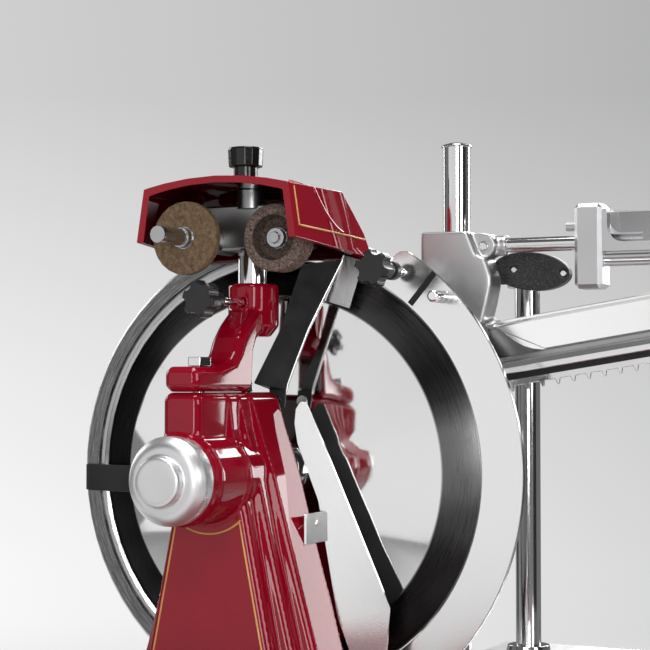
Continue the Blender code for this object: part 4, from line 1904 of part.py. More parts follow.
def build_press_arm():
    """Tilted press arm with its hollow face, and the toothed comb under it."""
    arm = plate("press_arm", PRESS_ARM_SECTION, "satin_aluminium", "YZ", 0, PRESS_ARM_LENGTH)
    ramp = plate(
        "ramp_tool", [(RUN_GAP, RAMP_LOW), (RAMP_LENGTH, RAMP_LOW), (RUN_GAP, RAMP_HIGH)], None, "XZ",
        RAMP_FRONT, RAMP_REAR
    )
    arm.data.transform(arm_frame())
    ramp.data.transform(arm_frame())
    add(arm, ramp)
    tooth_start = (PRESS_ARM_LENGTH - (COMB_TEETH - 1) * COMB_PITCH) / 2
    outline = [(0, -SEAT_GAP), (0, -COMB_DEPTH)]
    for i in range(COMB_TEETH):
        middle = tooth_start + i * COMB_PITCH
        outline += [
            (middle - COMB_ROOT / 2, -COMB_DEPTH), (middle - COMB_TIP / 2, -COMB_DEPTH - COMB_TOOTH),
            (middle + COMB_TIP / 2, -COMB_DEPTH - COMB_TOOTH), (middle + COMB_ROOT / 2, -COMB_DEPTH),
        ]
    outline += [(PRESS_ARM_LENGTH, -COMB_DEPTH), (PRESS_ARM_LENGTH, -SEAT_GAP)]
    comb = plate("press_comb", outline, "polished_steel", "XZ", COMB_REAR - COMB_THICKNESS, COMB_REAR)
    comb.data.transform(arm_frame())


def build_end_block():
    """Block on the rod, its clamp screw and the hollow-topped wing to its right."""
    body = block(
        "press_end_block", (END_BLOCK_LEFT, END_BLOCK_FRONT, above_axis(END_BLOCK_BOTTOM)),
        (END_BLOCK_RIGHT, END_BLOCK_REAR, above_axis(END_BLOCK_TOP)), "polished_steel",
    )
    rounded(body, EDGE_ROUND * 2)
    start = END_BLOCK_RIGHT - EDGE_ROUND * 3
    span = WING_RIGHT - END_BLOCK_RIGHT
    outline = [(start, above_axis(WING_BOTTOM)), (WING_RIGHT, above_axis(WING_BOTTOM)), (WING_RIGHT, above_axis(WING_TOP))]
    for i in range(WING_DIP_STEPS + 1):
        share = i / WING_DIP_STEPS
        x = WING_RIGHT - EDGE_ROUND * 2 - share * (span - EDGE_ROUND * 4)
        outline.append((x, above_axis(WING_TOP - WING_DIP * math.sin(math.pi * share))))
    outline.append((start, above_axis(WING_TOP)))
    wing = plate("wing_tool", outline, None, "XZ", WING_FRONT, WING_REAR)
    corner = (SCOOP_LEFT + SCOOP_CORNER, above_axis(SCOOP_BOTTOM + SCOOP_CORNER))
    scoop_outline = [(WING_RIGHT + OVERRUN, above_axis(WING_TOP) + OVERRUN), (SCOOP_LEFT, above_axis(WING_TOP) + OVERRUN)]
    scoop_outline += arc(corner, SCOOP_CORNER, math.pi, math.pi * 3 / 2, CORNER_STEPS)
    scoop_outline.append((WING_RIGHT + OVERRUN, above_axis(SCOOP_BOTTOM)))
    scoop = plate("scoop_tool", scoop_outline, None, "XZ", WING_FRONT - OVERRUN, SCOOP_REAR)
    stays = [
        pin_tool(
            f"stay_{i}_tool", "X", (0, FRONT_COLUMN_Y, above_axis(height)), STAY_RADIUS, start, WING_RIGHT,
            SMALL_STEPS
        )
        for i, height in enumerate((UPPER_STAY_HEIGHT, LOWER_STAY_HEIGHT))
    ]
    screw = pin_tool(
        "clamp_screw_tool", "X", (0, FRONT_COLUMN_Y, above_axis(CLAMP_SCREW_HEIGHT)), CLAMP_SCREW_RADIUS,
        END_BLOCK_LEFT - CLAMP_SCREW_LENGTH, END_BLOCK_LEFT + EDGE_ROUND * 3, SMALL_STEPS,
    )
    add(body, wing, *stays, screw)
    bore = pin_tool(
        "end_block_bore_tool", "X", (0, FRONT_COLUMN_Y, above_axis(ROD_HEIGHT)), ROD_RADIUS + RUN_GAP,
        END_BLOCK_LEFT - OVERRUN, WING_RIGHT + OVERRUN, ROD_STEPS,
    )
    return cut(body, scoop, bore)


def build_press_handle():
    """Clamp lever with its oval pad, pivoted behind the bracket."""
    outline = []
    for i in range(PAD_POINTS):
        angle = math.tau * i / PAD_POINTS
        point = Vector((PAD_HALF_LENGTH * math.cos(angle), PAD_HALF_HEIGHT * math.sin(angle)))
        point.rotate(Matrix.Rotation(PAD_TILT, 2))
        outline.append((PAD_X + point.x, above_axis(PAD_HEIGHT) + point.y))
    pad = plate("press_handle", outline, "black_plastic", "XZ", PAD_FRONT, PAD_REAR)
    rounded(pad, EDGE_ROUND)
    front = PRESS_REAR + RUN_GAP
    pivot = (PAD_PIVOT_X, above_axis(PAD_PIVOT_HEIGHT))
    neck_outline = capsule(
        pivot, (PAD_X, above_axis(PAD_HEIGHT)), PAD_HUB_RADIUS, PAD_NECK_HALF_HEIGHT, TAPER_STEPS
    )
    neck = plate("pad_neck_tool", neck_outline, None, "XZ", front, PAD_FRONT + EDGE_ROUND * 2)
    pin = pin_tool(
        "pad_pin_tool", "Y", (PAD_PIVOT_X, 0, above_axis(PAD_PIVOT_HEIGHT)), SCREW_RADIUS,
        PRESS_REAR - OVERRUN, front + EDGE_ROUND, SMALL_STEPS,
    )
    return add(pad, neck, pin)


def build_tray():
    """Shallow tray that catches the slices, standing on the deck."""
    bottom = DECK_HEIGHT + SEAT_GAP

    def ring(shrink, height):
        outline = rounded_rectangle(
            TRAY_LEFT + shrink, TRAY_RIGHT - shrink, TRAY_FRONT + shrink, TRAY_REAR - shrink,
            TRAY_CORNER - shrink / 2, TAPER_STEPS
        )
        return at_height(outline, height)

    sections = [
        ring(TRAY_DRAFT + TRAY_WALL, bottom + TRAY_WALL), ring(TRAY_WALL, bottom + TRAY_HEIGHT),
        ring(0, bottom + TRAY_HEIGHT), ring(TRAY_DRAFT, bottom),
    ]
    return lofted("slice_tray", sections, "polished_steel", smooth=False)


def set_origin(obj, place):
    """Moves an object's origin to a place and leaves its shape where it is."""
    obj.data.transform(Matrix.Translation(-Vector(place)))
    obj.location = Vector(place)


def place_origins():
    """Puts the origin of each moving piece on its joint's axis."""
    handle_x, handle_z = handle_place()
    blade = (0, 0, AXIS_HEIGHT)
    guard_x, guard_z = polar(GUARD_KNOB_ANGLE, GUARD_KNOB_CENTRE_RADIUS)
    places = {
        "guard_knob": (guard_x, 0, guard_z),
        "handle_grip": (handle_x, 0, handle_z),
        "blade": blade,
        "blade_shaft": blade,
        "swing_arm": (FLYWHEEL_X, 0, SWING_PIVOT_HEIGHT),
        "lead_screw": (LEAD_SCREW_X, 0, LEAD_SCREW_HEIGHT),
        "feed_handwheel": (LEAD_SCREW_X, 0, LEAD_SCREW_HEIGHT),
        "thickness_dial": (DIAL_X, 0, DIAL_HEIGHT),
        "flat_stone": (FLAT_STONE_X, 0, above_axis(STONE_HEIGHT)),
        "cup_stone": (CUP_STONE_X, 0, above_axis(STONE_HEIGHT)),
        "upper_deflector": (DEFLECTOR_PIN_X, 0, above_axis(DEFLECTOR_PIN_HEIGHT)),
    }
    for name, place in places.items():
        set_origin(bpy.data.objects[name], place)


def place_machine():
    """Carries every piece on one empty that stands under the middle of the machine."""
    machine = bpy.data.objects.new("machine", None)
    bpy.context.scene.collection.objects.link(machine)
    for obj in bpy.data.objects:
        if obj is not machine:
            obj.parent = machine
    machine.location = (MACHINE_X, MACHINE_Y, 0)


def main():
    clear_scene()
    build_base()
    build_feet()
    build_flywheel_bush()
    build_flywheel()
    build_handle()
    build_crankshaft()
    build_drive_gear()
    build_idler()
    build_chain()
    build_swing_arm()
    build_column()
    build_rear_cover()
    build_bearing()
    build_hub_cap()
    build_blade()
    build_guard_ring()
    build_guard_plate()
    build_ring_arm()
    build_knobs()
    build_sharpener_bracket()
    build_bolts()
    build_sharpener_head()
    build_cover()
    build_deflectors()
    build_rails()
    build_carriage()
    build_table()
    build_feed()
    build_press_columns()
    build_press_bracket()
    build_press_arm()
    build_end_block()
    build_press_handle()
    build_tray()
    place_origins()
    place_machine()


main()
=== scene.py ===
import json
import math

import bpy
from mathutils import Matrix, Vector


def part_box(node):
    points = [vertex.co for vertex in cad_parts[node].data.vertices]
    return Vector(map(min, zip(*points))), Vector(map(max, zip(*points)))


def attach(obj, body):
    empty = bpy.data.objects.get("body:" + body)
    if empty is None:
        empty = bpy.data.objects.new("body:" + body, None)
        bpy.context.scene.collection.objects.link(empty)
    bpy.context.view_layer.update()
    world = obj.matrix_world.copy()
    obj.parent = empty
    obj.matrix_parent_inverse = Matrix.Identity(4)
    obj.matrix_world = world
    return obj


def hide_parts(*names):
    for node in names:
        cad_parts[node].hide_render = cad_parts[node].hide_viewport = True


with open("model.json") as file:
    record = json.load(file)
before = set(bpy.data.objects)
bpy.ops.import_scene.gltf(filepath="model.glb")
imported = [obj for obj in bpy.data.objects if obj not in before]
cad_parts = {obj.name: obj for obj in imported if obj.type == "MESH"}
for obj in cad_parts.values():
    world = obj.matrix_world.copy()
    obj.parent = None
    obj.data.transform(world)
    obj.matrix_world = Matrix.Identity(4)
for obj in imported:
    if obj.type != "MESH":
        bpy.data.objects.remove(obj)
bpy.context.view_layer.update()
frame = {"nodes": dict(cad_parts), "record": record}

bl_info = {
    "name": "Flywheel Meat Slicer",
    "version": (1, 0, 0),
    "blender": (4, 5, 0),
    "location": "View3D > Sidebar > Slicer",
    "description": "Finishes and fine pieces of a hand crank meat slicer",
    "category": "Object",
}

BLADE_LOW, BLADE_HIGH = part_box("blade")
HUB_X = (BLADE_LOW.x + BLADE_HIGH.x) / 2
HUB_Z = (BLADE_LOW.z + BLADE_HIGH.z) / 2
# The place in the frame from which the machine's own drawing measures, at the hub's height
MACHINE_X, MACHINE_Y = -0.03025, -0.0030
BODY_OF = {
    node: body
    for body, nodes in frame["record"]["behaviour"]["bodies"].items()
    for node in nodes
}
SLOT_OF = {part["node"]: part["material_slot"] for part in frame["record"]["subparts"]}
ALONG = {"X": Vector((1, 0, 0)), "Y": Vector((0, 1, 0)), "Z": Vector((0, 0, 1))}
FACING = {"X": (0, math.radians(90), 0), "Y": (math.radians(90), 0, 0), "Z": (0, 0, 0)}
MERGE, FINE_MERGE = 0.00001, 0.000001


# Places


def at(x, y, height):
    """A place measured from the blade's axis, as the machine's own drawing gives it."""
    return Vector((MACHINE_X + x, MACHINE_Y + y, HUB_Z + height))


def polar(reach, degrees):
    """Two lengths that lie at an angle and a reach from a centre."""
    turn = math.radians(degrees)
    return reach * math.cos(turn), reach * math.sin(turn)


def middle(node):
    """Centre of a node's box, and its least and greatest corner."""
    low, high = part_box(node)
    return (low + high) / 2, low, high


# Modelling steps


def deselect():
    """Leaves edit mode and selects nothing."""
    if bpy.context.mode != "OBJECT":
        bpy.ops.object.mode_set(mode="OBJECT")
    bpy.ops.object.select_all(action="DESELECT")


def only(piece):
    """Selects this piece and nothing else."""
    deselect()
    piece.select_set(True)
    bpy.context.view_layer.objects.active = piece


def edit(piece):
    """Opens the piece's mesh with all of it selected."""
    only(piece)
    bpy.ops.object.mode_set(mode="EDIT")
    bpy.ops.mesh.select_mode(type="FACE")
    bpy.ops.mesh.select_all(action="SELECT")


def done():
    """Closes the mesh that edit opened."""
    bpy.ops.object.mode_set(mode="OBJECT")


def named(name):
    """The piece that was just added, under its name."""
    piece = bpy.context.object
    piece.name = name
    piece.data.name = name
    return piece


def apply_modifier(piece, kind, **settings):
    """Gives the piece one modifier and works it into the mesh."""
    only(piece)
    bpy.ops.object.modifier_add(type=kind)
    modifier = piece.modifiers[-1]
    for key, value in settings.items():
        setattr(modifier, key, value)
    bpy.ops.object.modifier_apply(modifier=modifier.name)


def settle(piece):
    """Puts the piece's place, turn and size into its mesh."""
    only(piece)
    bpy.ops.object.transform_apply(location=True, rotation=True, scale=True)


def smooth(piece, angle):
    """Smooths the shading where faces meet at less than the angle."""
    only(piece)
    bpy.ops.object.shade_smooth_by_angle(angle=math.radians(angle))
    return piece


def eased(piece, width, segments=3, angle=30.0):
    """Rounds the piece's hard edges and smooths what is left."""
    apply_modifier(
        piece,
        "BEVEL",
        width=width,
        segments=segments,
        limit_method="ANGLE",
        angle_limit=math.radians(angle),
    )
    smooth(piece, angle)
    apply_modifier(piece, "WEIGHTED_NORMAL", weight=80, keep_sharp=True)
    return piece


def join(pieces, name):
    """Makes one piece of several, under a new name."""
    deselect()
    for piece in pieces:
        piece.select_set(True)
    bpy.context.view_layer.objects.active = pieces[0]
    bpy.ops.object.join()
    return named(name)


def cut(piece, *tools):
    """Takes the tools away from the piece."""
    tool = join(list(tools), piece.name + "_tool")
    apply_modifier(piece, "BOOLEAN", operation="DIFFERENCE", object=tool, solver="EXACT")
    bpy.data.objects.remove(tool)


# How a piece is dressed and where it rides


def coat(piece, finish):
    """Gives the piece this finish alone."""
    piece.data.materials.clear()
    piece.data.materials.append(bpy.data.materials[finish])


def fit(piece, node, finish):
    """Gives a finished piece its material, and the body of the node that it is fixed to."""
    coat(piece, finish)
    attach(piece, BODY_OF[node])


def stand_in(piece, node, finish):
    """Puts a finished piece in the place of a node."""
    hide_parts(node)
    fit(piece, node, finish)


def dressed(node):
    """The finished piece that stands in for a node."""
    return bpy.data.objects["dressed_" + node]


def paint_faces(node, finish, chosen):
    """Gives the faces that the test picks a second finish."""
    piece = dressed(node)
    piece.data.materials.append(bpy.data.materials[finish])
    for face in piece.data.polygons:
        if chosen(face):
            face.material_index = 1


def paint_rear_shade(node, finish, lowest=0.0):
    """Gives the faces that look back, above the lowest height, a second and darker finish as
    painted shade.
    """
    paint_faces(node, finish, lambda face: face.normal.y > 0.7 and face.center.z > lowest)


# Pieces made from a node's mesh


def copy_of(node):
    """A merged copy of a CAD node's mesh, ready to be shaped."""
    name = "dressed_" + node
    piece = bpy.data.objects.new(name, frame["nodes"][node].data.copy())
    bpy.context.scene.collection.objects.link(piece)
    only(piece)
    bpy.ops.mesh.customdata_custom_splitnormals_clear()
    edit(piece)
    bpy.ops.mesh.remove_doubles(threshold=MERGE)
    done()
    return piece


def crisp(node, width):
    """A node with its flat faces joined and its hard edges eased, as machined metal has."""
    piece = copy_of(node)
    edit(piece)
    bpy.ops.mesh.dissolve_limited(angle_limit=math.radians(0.5))
    done()
    return eased(piece, width, 2, 35.0)


def cast(node, voxel, rounds):
    """A node as one soft casting: a fillet in every inner corner and a radius on every edge."""
    piece = copy_of(node)
    apply_modifier(piece, "REMESH", mode="VOXEL", voxel_size=voxel, adaptivity=0.0)
    apply_modifier(piece, "SMOOTH", factor=0.5, iterations=rounds)
    only(piece)
    bpy.ops.object.shade_smooth()
    return piece


# New pieces


def turned(name, profile, place, axis="Y", steps=64):
    """A round piece: a disc pulled along its axis and scaled at every (offset, radius) in order."""
    along = ALONG[axis]
    offset, radius = profile[0]
    deselect()
    bpy.ops.mesh.primitive_circle_add(
        vertices=steps,
        radius=radius,
        fill_type="NGON",
        location=Vector(place) + along * offset,
        rotation=FACING[axis],
    )
    piece = named(name)
    settle(piece)
    edit(piece)
    for next_offset, next_radius in profile[1:]:
        move = {"value": along * (next_offset - offset)}
        bpy.ops.mesh.extrude_region_move(TRANSFORM_OT_translate=move)
        share = next_radius / radius
        centre = Vector(place) + along * next_offset
        bpy.ops.transform.resize(value=(share, share, share), center_override=centre)
        offset, radius = next_offset, next_radius
    bpy.ops.mesh.select_all(action="SELECT")
    bpy.ops.mesh.normals_make_consistent(inside=False)
    done()
    return piece


def block(name, low, high):
    """A bar between two corners."""
    deselect()
    low, high = Vector(low), Vector(high)
    bpy.ops.mesh.primitive_cube_add(size=1.0, location=(low + high) / 2)
    piece = named(name)
    piece.scale = high - low
    settle(piece)
    return piece


def drill(place, radius, depth):
    """A round bar along Y that cuts a hole or a notch."""
    deselect()
    bpy.ops.mesh.primitive_cylinder_add(
        vertices=32, radius=radius, depth=depth, location=place, rotation=FACING["Y"]
    )
    bar = bpy.context.object
    settle(bar)
    return bar


def drawn(name, points, closed, dimensions, **settings):
    """A row of points made a mesh, with the thickness that the settings give it."""
    curve = bpy.data.curves.new(name, "CURVE")
    curve.dimensions = dimensions
    for key, value in settings.items():
        setattr(curve, key, value)
    line = curve.splines.new("POLY")
    line.points.add(len(points) - 1)
    for point, place in zip(line.points, points):
        point.co = (*place, 1.0)
    line.use_cyclic_u = closed
    piece = bpy.data.objects.new(name, curve)
    bpy.context.scene.collection.objects.link(piece)
    only(piece)
    bpy.ops.object.convert(target="MESH")
    return bpy.context.object


def wire(name, points, radius, closed=False, steps=2):
    """A thin line of paint or rod that follows a row of points."""
    piece = drawn(
        name,
        points,
        closed,
        "3D",
        bevel_depth=radius,
        bevel_resolution=steps,
        use_fill_caps=True,
    )
    return smooth(piece, 50.0)


def flat(name, outline, front, depth):
    """A plate cut to an outline of (x, height) places, with its face at the front."""
    points = [(x, height, 0.0) for x, height in outline]
    piece = drawn(name, points, True, "2D", fill_mode="BOTH", extrude=depth / 2)
    piece.rotation_euler = FACING["Y"]
    piece.location = at(0, front + depth / 2, 0)
    settle(piece)
    edit(piece)
    bpy.ops.mesh.remove_doubles(threshold=FINE_MERGE)
    bpy.ops.mesh.normals_make_consistent(inside=False)
    done()
    return piece


def screw(name, place, axis, radius, height):
    """A low round screw head with a driver slot. A height below zero faces it forward."""
    profile = ((0, radius), (height * 0.7, radius), (height, radius * 0.8))
    head = turned(name, profile, place, axis, 32)
    half = Vector((radius * 1.2, radius * 1.2, radius * 0.16))
    half["XYZ".index(axis)] = abs(height) * 0.45
    centre = Vector(place) + ALONG[axis] * height
    cut(head, block(name + "_slot", centre - half, centre + half))
    return smooth(head, 30.0)


def spots_on(node, starts, way, sink=0.0):
    """Where straight looks from the starts meet the dressed node. One that misses is left out."""
    way = Vector(way)
    spots = []
    for start in starts:
        hit, spot, _, _ = dressed(node).ray_cast(Vector(start), way)
        if hit:
            spots.append(spot + way * sink)
    return spots


# Materials


def new_material(name):
    """A material under a name of its own: one that the frame brought under it steps aside."""
    known = bpy.data.materials.get(name)
    if known:
        known.name = "frame_" + name
    material = bpy.data.materials.new(name)
    material.use_nodes = True
    tree = material.node_tree
    return tree, tree.nodes["Principled BSDF"]


def grey(level):
    """A grey of this level."""
    return (level, level, level)


def shade(colour, share):
    """A darker or lighter share of a colour."""
    return tuple(min(1.0, channel * share) for channel in colour)


def plug(tree, socket, value):
    """Links a socket to another one, or writes a plain value into it."""
    if isinstance(value, bpy.types.NodeSocket):
        tree.links.new(value, socket)
    else:
        socket.default_value = value


def give(tree, made, inputs):
    """Links or fills the inputs of a node by their names."""
    for name, value in inputs.items():
        plug(tree, made.inputs[name], value)


def add_node(tree, kind, inputs=None, **settings):
    """A new node with its inputs and its settings."""
    made = tree.nodes.new(kind)
    for key, value in settings.items():
        setattr(made, key, value)
    give(tree, made, inputs or {})
    return made


def maths(tree, operation, *values, kind="ShaderNodeMath", output=0):
    """The result of an operation on numbers or sockets, in order."""
    made = add_node(tree, kind, operation=operation)
    for socket, value in zip(made.inputs, values):
        plug(tree, socket, value)
    return made.outputs[output]


def vectors(tree, operation, *values, output="Vector"):
    """The result of an operation on vectors."""
    return maths(tree, operation, *values, kind="ShaderNodeVectorMath", output=output)


def coordinates(tree, scale=(1, 1, 1), location=(0, 0, 0)):
    """The point on the object, stretched and moved."""
    place = add_node(tree, "ShaderNodeTexCoord").outputs["Object"]
    inputs = {"Vector": place, "Scale": scale, "Location": location}
    return add_node(tree, "ShaderNodeMapping", inputs).outputs["Vector"]


def noise(tree, vector, scale, detail=3.0, rough=0.5):
    """Soft random cloud or grain at a scale."""
    inputs = {"Vector": vector, "Scale": scale, "Detail": detail, "Roughness": rough}
    return add_node(tree, "ShaderNodeTexNoise", inputs).outputs["Fac"]


def ramp(tree, factor, stops):
    """A row of colours along a factor. A stop's colour may be one number, for a grey."""
    made = add_node(tree, "ShaderNodeValToRGB", {"Fac": factor})
    points = made.color_ramp.elements
    while len(points) < len(stops):
        points.new(0.5)
    for point, (place, colour) in zip(points, stops):
        point.position = place
        point.color = (*(grey(colour) if isinstance(colour, float) else colour), 1.0)
    return made.outputs["Color"]


def spread(tree, factor, low, high, start=0.3, end=0.7, way="LINEAR"):
    """Turns a factor between start and end into a value between low and high."""
    inputs = {"Value": factor, "From Min": start, "From Max": end, "To Min": low, "To Max": high}
    made = add_node(tree, "ShaderNodeMapRange", inputs, interpolation_type=way)
    return made.outputs["Result"]


def mixed(tree, kind, factor, first, second):
    """One value or the other, by the factor."""
    made = add_node(tree, "ShaderNodeMix", data_type=kind)
    give(tree, made, {"Factor": factor, "A": first, "B": second})
    return made.outputs["Result"]


def relief(tree, shader, height, strength, distance):
    """Fine relief on the surface from a height."""
    inputs = {"Height": height, "Strength": strength, "Distance": distance}
    plug(tree, shader.inputs["Normal"], add_node(tree, "ShaderNodeBump", inputs).outputs["Normal"])


def clouded(tree, place, scale, colour, dark, pale, start=0.3, end=0.7):
    """A colour that drifts between a darker and a paler share of itself."""
    stops = ((start, shade(colour, dark)), (end, shade(colour, pale)))
    return ramp(tree, noise(tree, place, scale), stops)


def enamel(name, colour):
    """Deep stove enamel: a gloss coat over a colour that drifts a little at random."""
    tree, shader = new_material(name)
    place = coordinates(tree)
    give(tree, shader, {
        "Base Color": clouded(tree, place, 14.0, colour, 0.86, 1.12),
        "Roughness": spread(tree, noise(tree, place, 60.0), 0.3, 0.4),
        "Coat Weight": 1.0,
        "Coat Roughness": 0.02,
        "Coat IOR": 1.42,
        "Specular IOR Level": 0.0,
    })
    relief(tree, shader, noise(tree, place, 420.0, 2.0), 0.05, 0.0004)


def metal(name, colour, low, high, grain_scale, depth, grain=(1.0, 1.0, 1.0)):
    """Bare metal with the fine scratches that polishing leaves, drawn out along the grain."""
    tree, shader = new_material(name)
    scratches = noise(tree, coordinates(tree, grain), grain_scale, 4.0, 0.6)
    give(tree, shader, {
        "Base Color": clouded(tree, coordinates(tree), 22.0, colour, 0.95, 1.04),
        "Metallic": 1.0,
        "Roughness": spread(tree, scratches, low, high),
    })
    relief(tree, shader, scratches, depth, 0.0002)


def oxide_sheet(name, colour):
    """Sheet with a thin dark oxide skin: it shows only a faint reflection."""
    tree, shader = new_material(name)
    grain = noise(tree, coordinates(tree, (1.0, 1.0, 0.1)), 500.0)
    give(tree, shader, {
        "Base Color": clouded(tree, coordinates(tree), 40.0, colour, 0.6, 1.6),
        "Roughness": spread(tree, grain, 0.16, 0.26),
        "Specular IOR Level": 0.12,
    })


def leaning_steel(name, colour, lean):
    """Polished sheet whose slight curve turns its mirror sideways by the lean."""
    tree, shader = new_material(name)
    normal = add_node(tree, "ShaderNodeNewGeometry").outputs["Normal"]
    give(tree, shader, {
        "Base Color": clouded(tree, coordinates(tree), 18.0, colour, 0.97, 1.0),
        "Metallic": 1.0,
        "Roughness": 0.16,
        "Normal": vectors(tree, "NORMALIZE", vectors(tree, "ADD", normal, lean)),
    })


def moulded(name, colour, roughness, grain_scale, depth, speck=0.0):
    """Plastic, rubber or paint with the fine skin of its mould, and pale specks if any."""
    tree, shader = new_material(name)
    place = coordinates(tree)
    skin = noise(tree, place, grain_scale, 2.0)
    if speck:
        tint = ramp(tree, skin, ((0.52, shade(colour, 0.8)), (0.7, shade(colour, speck))))
    else:
        tint = clouded(tree, place, 30.0, colour, 0.8, 1.25)
    give(tree, shader, {
        "Base Color": tint,
        "Roughness": spread(tree, skin, roughness - 0.06, roughness + 0.06),
    })
    relief(tree, shader, skin, depth, 0.0003)


def stone(name, colour, dark, light, grain_scale):
    """A bonded grinding stone: coloured grit with pale and dark specks."""
    tree, shader = new_material(name)
    place = coordinates(tree)
    grit = add_node(tree, "ShaderNodeTexVoronoi", {"Vector": place, "Scale": grain_scale})
    stops = ((0.38, dark), (0.48, colour), (0.55, shade(colour, 1.15)), (0.64, light))
    give(tree, shader, {
        "Base Color": ramp(tree, noise(tree, place, grain_scale, 6.0, 0.8), stops),
        "Roughness": 0.9,
        "Specular IOR Level": 0.2,
    })
    relief(tree, shader, grit.outputs["Distance"], 0.6, 0.0006)


# How far along a ramp, which runs from 0 to 1, one metre of radius reaches
RADIUS_SHARE = 5.0


def radius_from_hub(tree):
    """The distance of a point from the blade's axis, in metres, and the point seen from there."""
    place = coordinates(tree, location=(-HUB_X, 0, -HUB_Z))
    across = vectors(tree, "MULTIPLY", place, (1, 0, 1))
    return vectors(tree, "LENGTH", across, output="Value"), place


def ring_ramp(tree, radius, stops):
    """Greys along the radius. The stops are given in metres."""
    share = maths(tree, "MULTIPLY", radius, RADIUS_SHARE)
    return ramp(tree, share, [(reach * RADIUS_SHARE, level) for reach, level in stops])


def round_brush(tree, radius, place, across, along):
    """Streaks that follow circles round the hub: long on the circle and fine across it."""
    way = vectors(tree, "NORMALIZE", place)
    long = vectors(tree, "MULTIPLY", way, (along, 0, along))
    wide = maths(tree, "MULTIPLY", radius, across)
    depth = add_node(tree, "ShaderNodeCombineXYZ", {"Y": wide}).outputs["Vector"]
    return noise(tree, vectors(tree, "ADD", long, depth), 1.0, 5.0, 0.65), way


def blade_steel(name):
    """Mirror dish inside, dark ground bevel outside it, bright honed edge."""
    tree, shader = new_material(name)
    radius, place = radius_from_hub(tree)
    lines, way = round_brush(tree, radius, place, 2200.0, 7.0)
    sectors = noise(tree, way, 1.5, 2.0, 0.4)
    brushed = maths(tree, "MULTIPLY_ADD", lines, 0.16, sectors)
    dark = ramp(tree, brushed, ((0.46, 0.012), (0.58, 0.03), (0.68, 0.07), (0.8, 0.16)))
    bright = ramp(tree, sectors, ((0.2, 0.84), (0.8, 0.9)))
    inside = ring_ramp(tree, radius, ((0.1268, 1.0), (0.1276, 0.0), (0.1525, 0.0), (0.154, 0.7)))
    rough, sharp = spread(tree, lines, 0.2, 0.42), spread(tree, lines, 0.04, 0.08)
    give(tree, shader, {
        "Base Color": mixed(tree, "RGBA", inside, dark, bright),
        "Metallic": 1.0,
        "Roughness": mixed(tree, "FLOAT", inside, rough, sharp),
    })
    relief(tree, shader, lines, 0.02, 0.0001)


def plate_steel(name):
    """Clean polished plate, darkened at its inner and outer rims as painted shade."""
    tree, shader = new_material(name)
    radius, place = radius_from_hub(tree)
    # Painted shade: dark steel inside the inner rim and outside the outer rim of the plate
    stops = ((0.1557, 0.2), (0.1562, 0.93), (0.1852, 0.93), (0.1855, 0.2))
    give(tree, shader, {
        "Base Color": ring_ramp(tree, radius, stops),
        "Metallic": 1.0,
        "Roughness": spread(tree, noise(tree, place, 400.0), 0.17, 0.21),
    })


def ring_metal(name):
    """Cast aluminium ring: a sand-blasted band outside and a turned lip inside."""
    tree, shader = new_material(name)
    radius, place = radius_from_hub(tree)
    lines, _ = round_brush(tree, radius, place, 2400.0, 9.0)
    rubbed = maths(tree, "MULTIPLY_ADD", noise(tree, place, 520.0, 3.0, 0.6), 0.12, lines)
    tint = ramp(tree, rubbed, ((0.42, 0.09), (0.56, 0.17), (0.7, 0.36)))
    band = ring_ramp(tree, radius, ((0.1575, 0.75), (0.159, 0.0), (0.1712, 0.0), (0.1724, 0.8)))
    give(tree, shader, {
        "Base Color": mixed(tree, "RGBA", band, tint, (*grey(0.62), 1.0)),
        "Metallic": 1.0,
        "Roughness": spread(tree, lines, 0.26, 0.42),
    })
    relief(tree, shader, lines, 0.08, 0.0002)


def pale_paper(name, colour):
    """Pale matt paper that fades out with distance, so that no line shows at the backdrop."""
    tree, shader = new_material(name)
    place = coordinates(tree)
    away = vectors(tree, "LENGTH", place, output="Value")
    give(tree, shader, {
        "Base Color": clouded(tree, place, 1.2, colour, 0.985, 1.0, 0.2, 0.8),
        "Roughness": 0.85,
        "Specular IOR Level": 0.1,
        "Alpha": spread(tree, away, 1.0, 0.0, 0.7, 3.2, "SMOOTHSTEP"),
    })


# Each metal's colour, least and greatest roughness, and its grain's scale, depth and stretch
METALS = {
    "polished_steel": (grey(0.8), 0.08, 0.13, 500.0, 0.002),
    "bright_steel": (grey(0.93), 0.16, 0.22, 900.0, 0.01, (1.0, 1.0, 0.15)),
    "brushed_steel": (grey(0.66), 0.2, 0.45, 420.0, 0.3, (1.0, 1.0, 0.12)),
    "tray_steel": (grey(0.68), 0.3, 0.42, 300.0, 0.03, (1.0, 0.05, 1.0)),
    "zinc_steel": ((0.46, 0.46, 0.47), 0.2, 0.26, 500.0, 0.003),
    "shaded_steel": (grey(0.4), 0.3, 0.36, 500.0, 0.01),
    "oiled_steel": ((0.2, 0.2, 0.21), 0.3, 0.45, 240.0, 0.08),
    "satin_aluminium": ((0.8, 0.8, 0.81), 0.36, 0.44, 800.0, 0.002),
    "cast_aluminium": ((0.6, 0.6, 0.61), 0.3, 0.4, 120.0, 0.004),
    "bronze": ((0.48, 0.3, 0.12), 0.25, 0.4, 300.0, 0.08),
}
# Each leaning sheet's level of grey and the lean of its mirror
LEANING = {
    # A darker grey as painted shade, for the arm's facet and the wing's hollow
    "shaded_facet_steel": (0.5, (-0.2, 0.0, 0.1)),
    "leaning_steel": (0.93, (0.36, 0.0, 0.02)),
    "arm_steel": (0.95, (0.0, 0.0, 0.2)),
}
# Each plain dark skin's colour, roughness, and its grain's scale and depth
SKINS = {
    # Dark grey painted shade for the lower deflector's back
    "painted_rear_shade": ((0.045, 0.045, 0.046), 0.5, 300.0, 0.1),
    "black_rubber": (grey(0.015), 0.7, 300.0, 0.2),
    # Black paint for the guard plate's slot, and painted shadow above the comb
    "black_paint_and_shadow": (grey(0.004), 0.6, 300.0, 0.02),
}


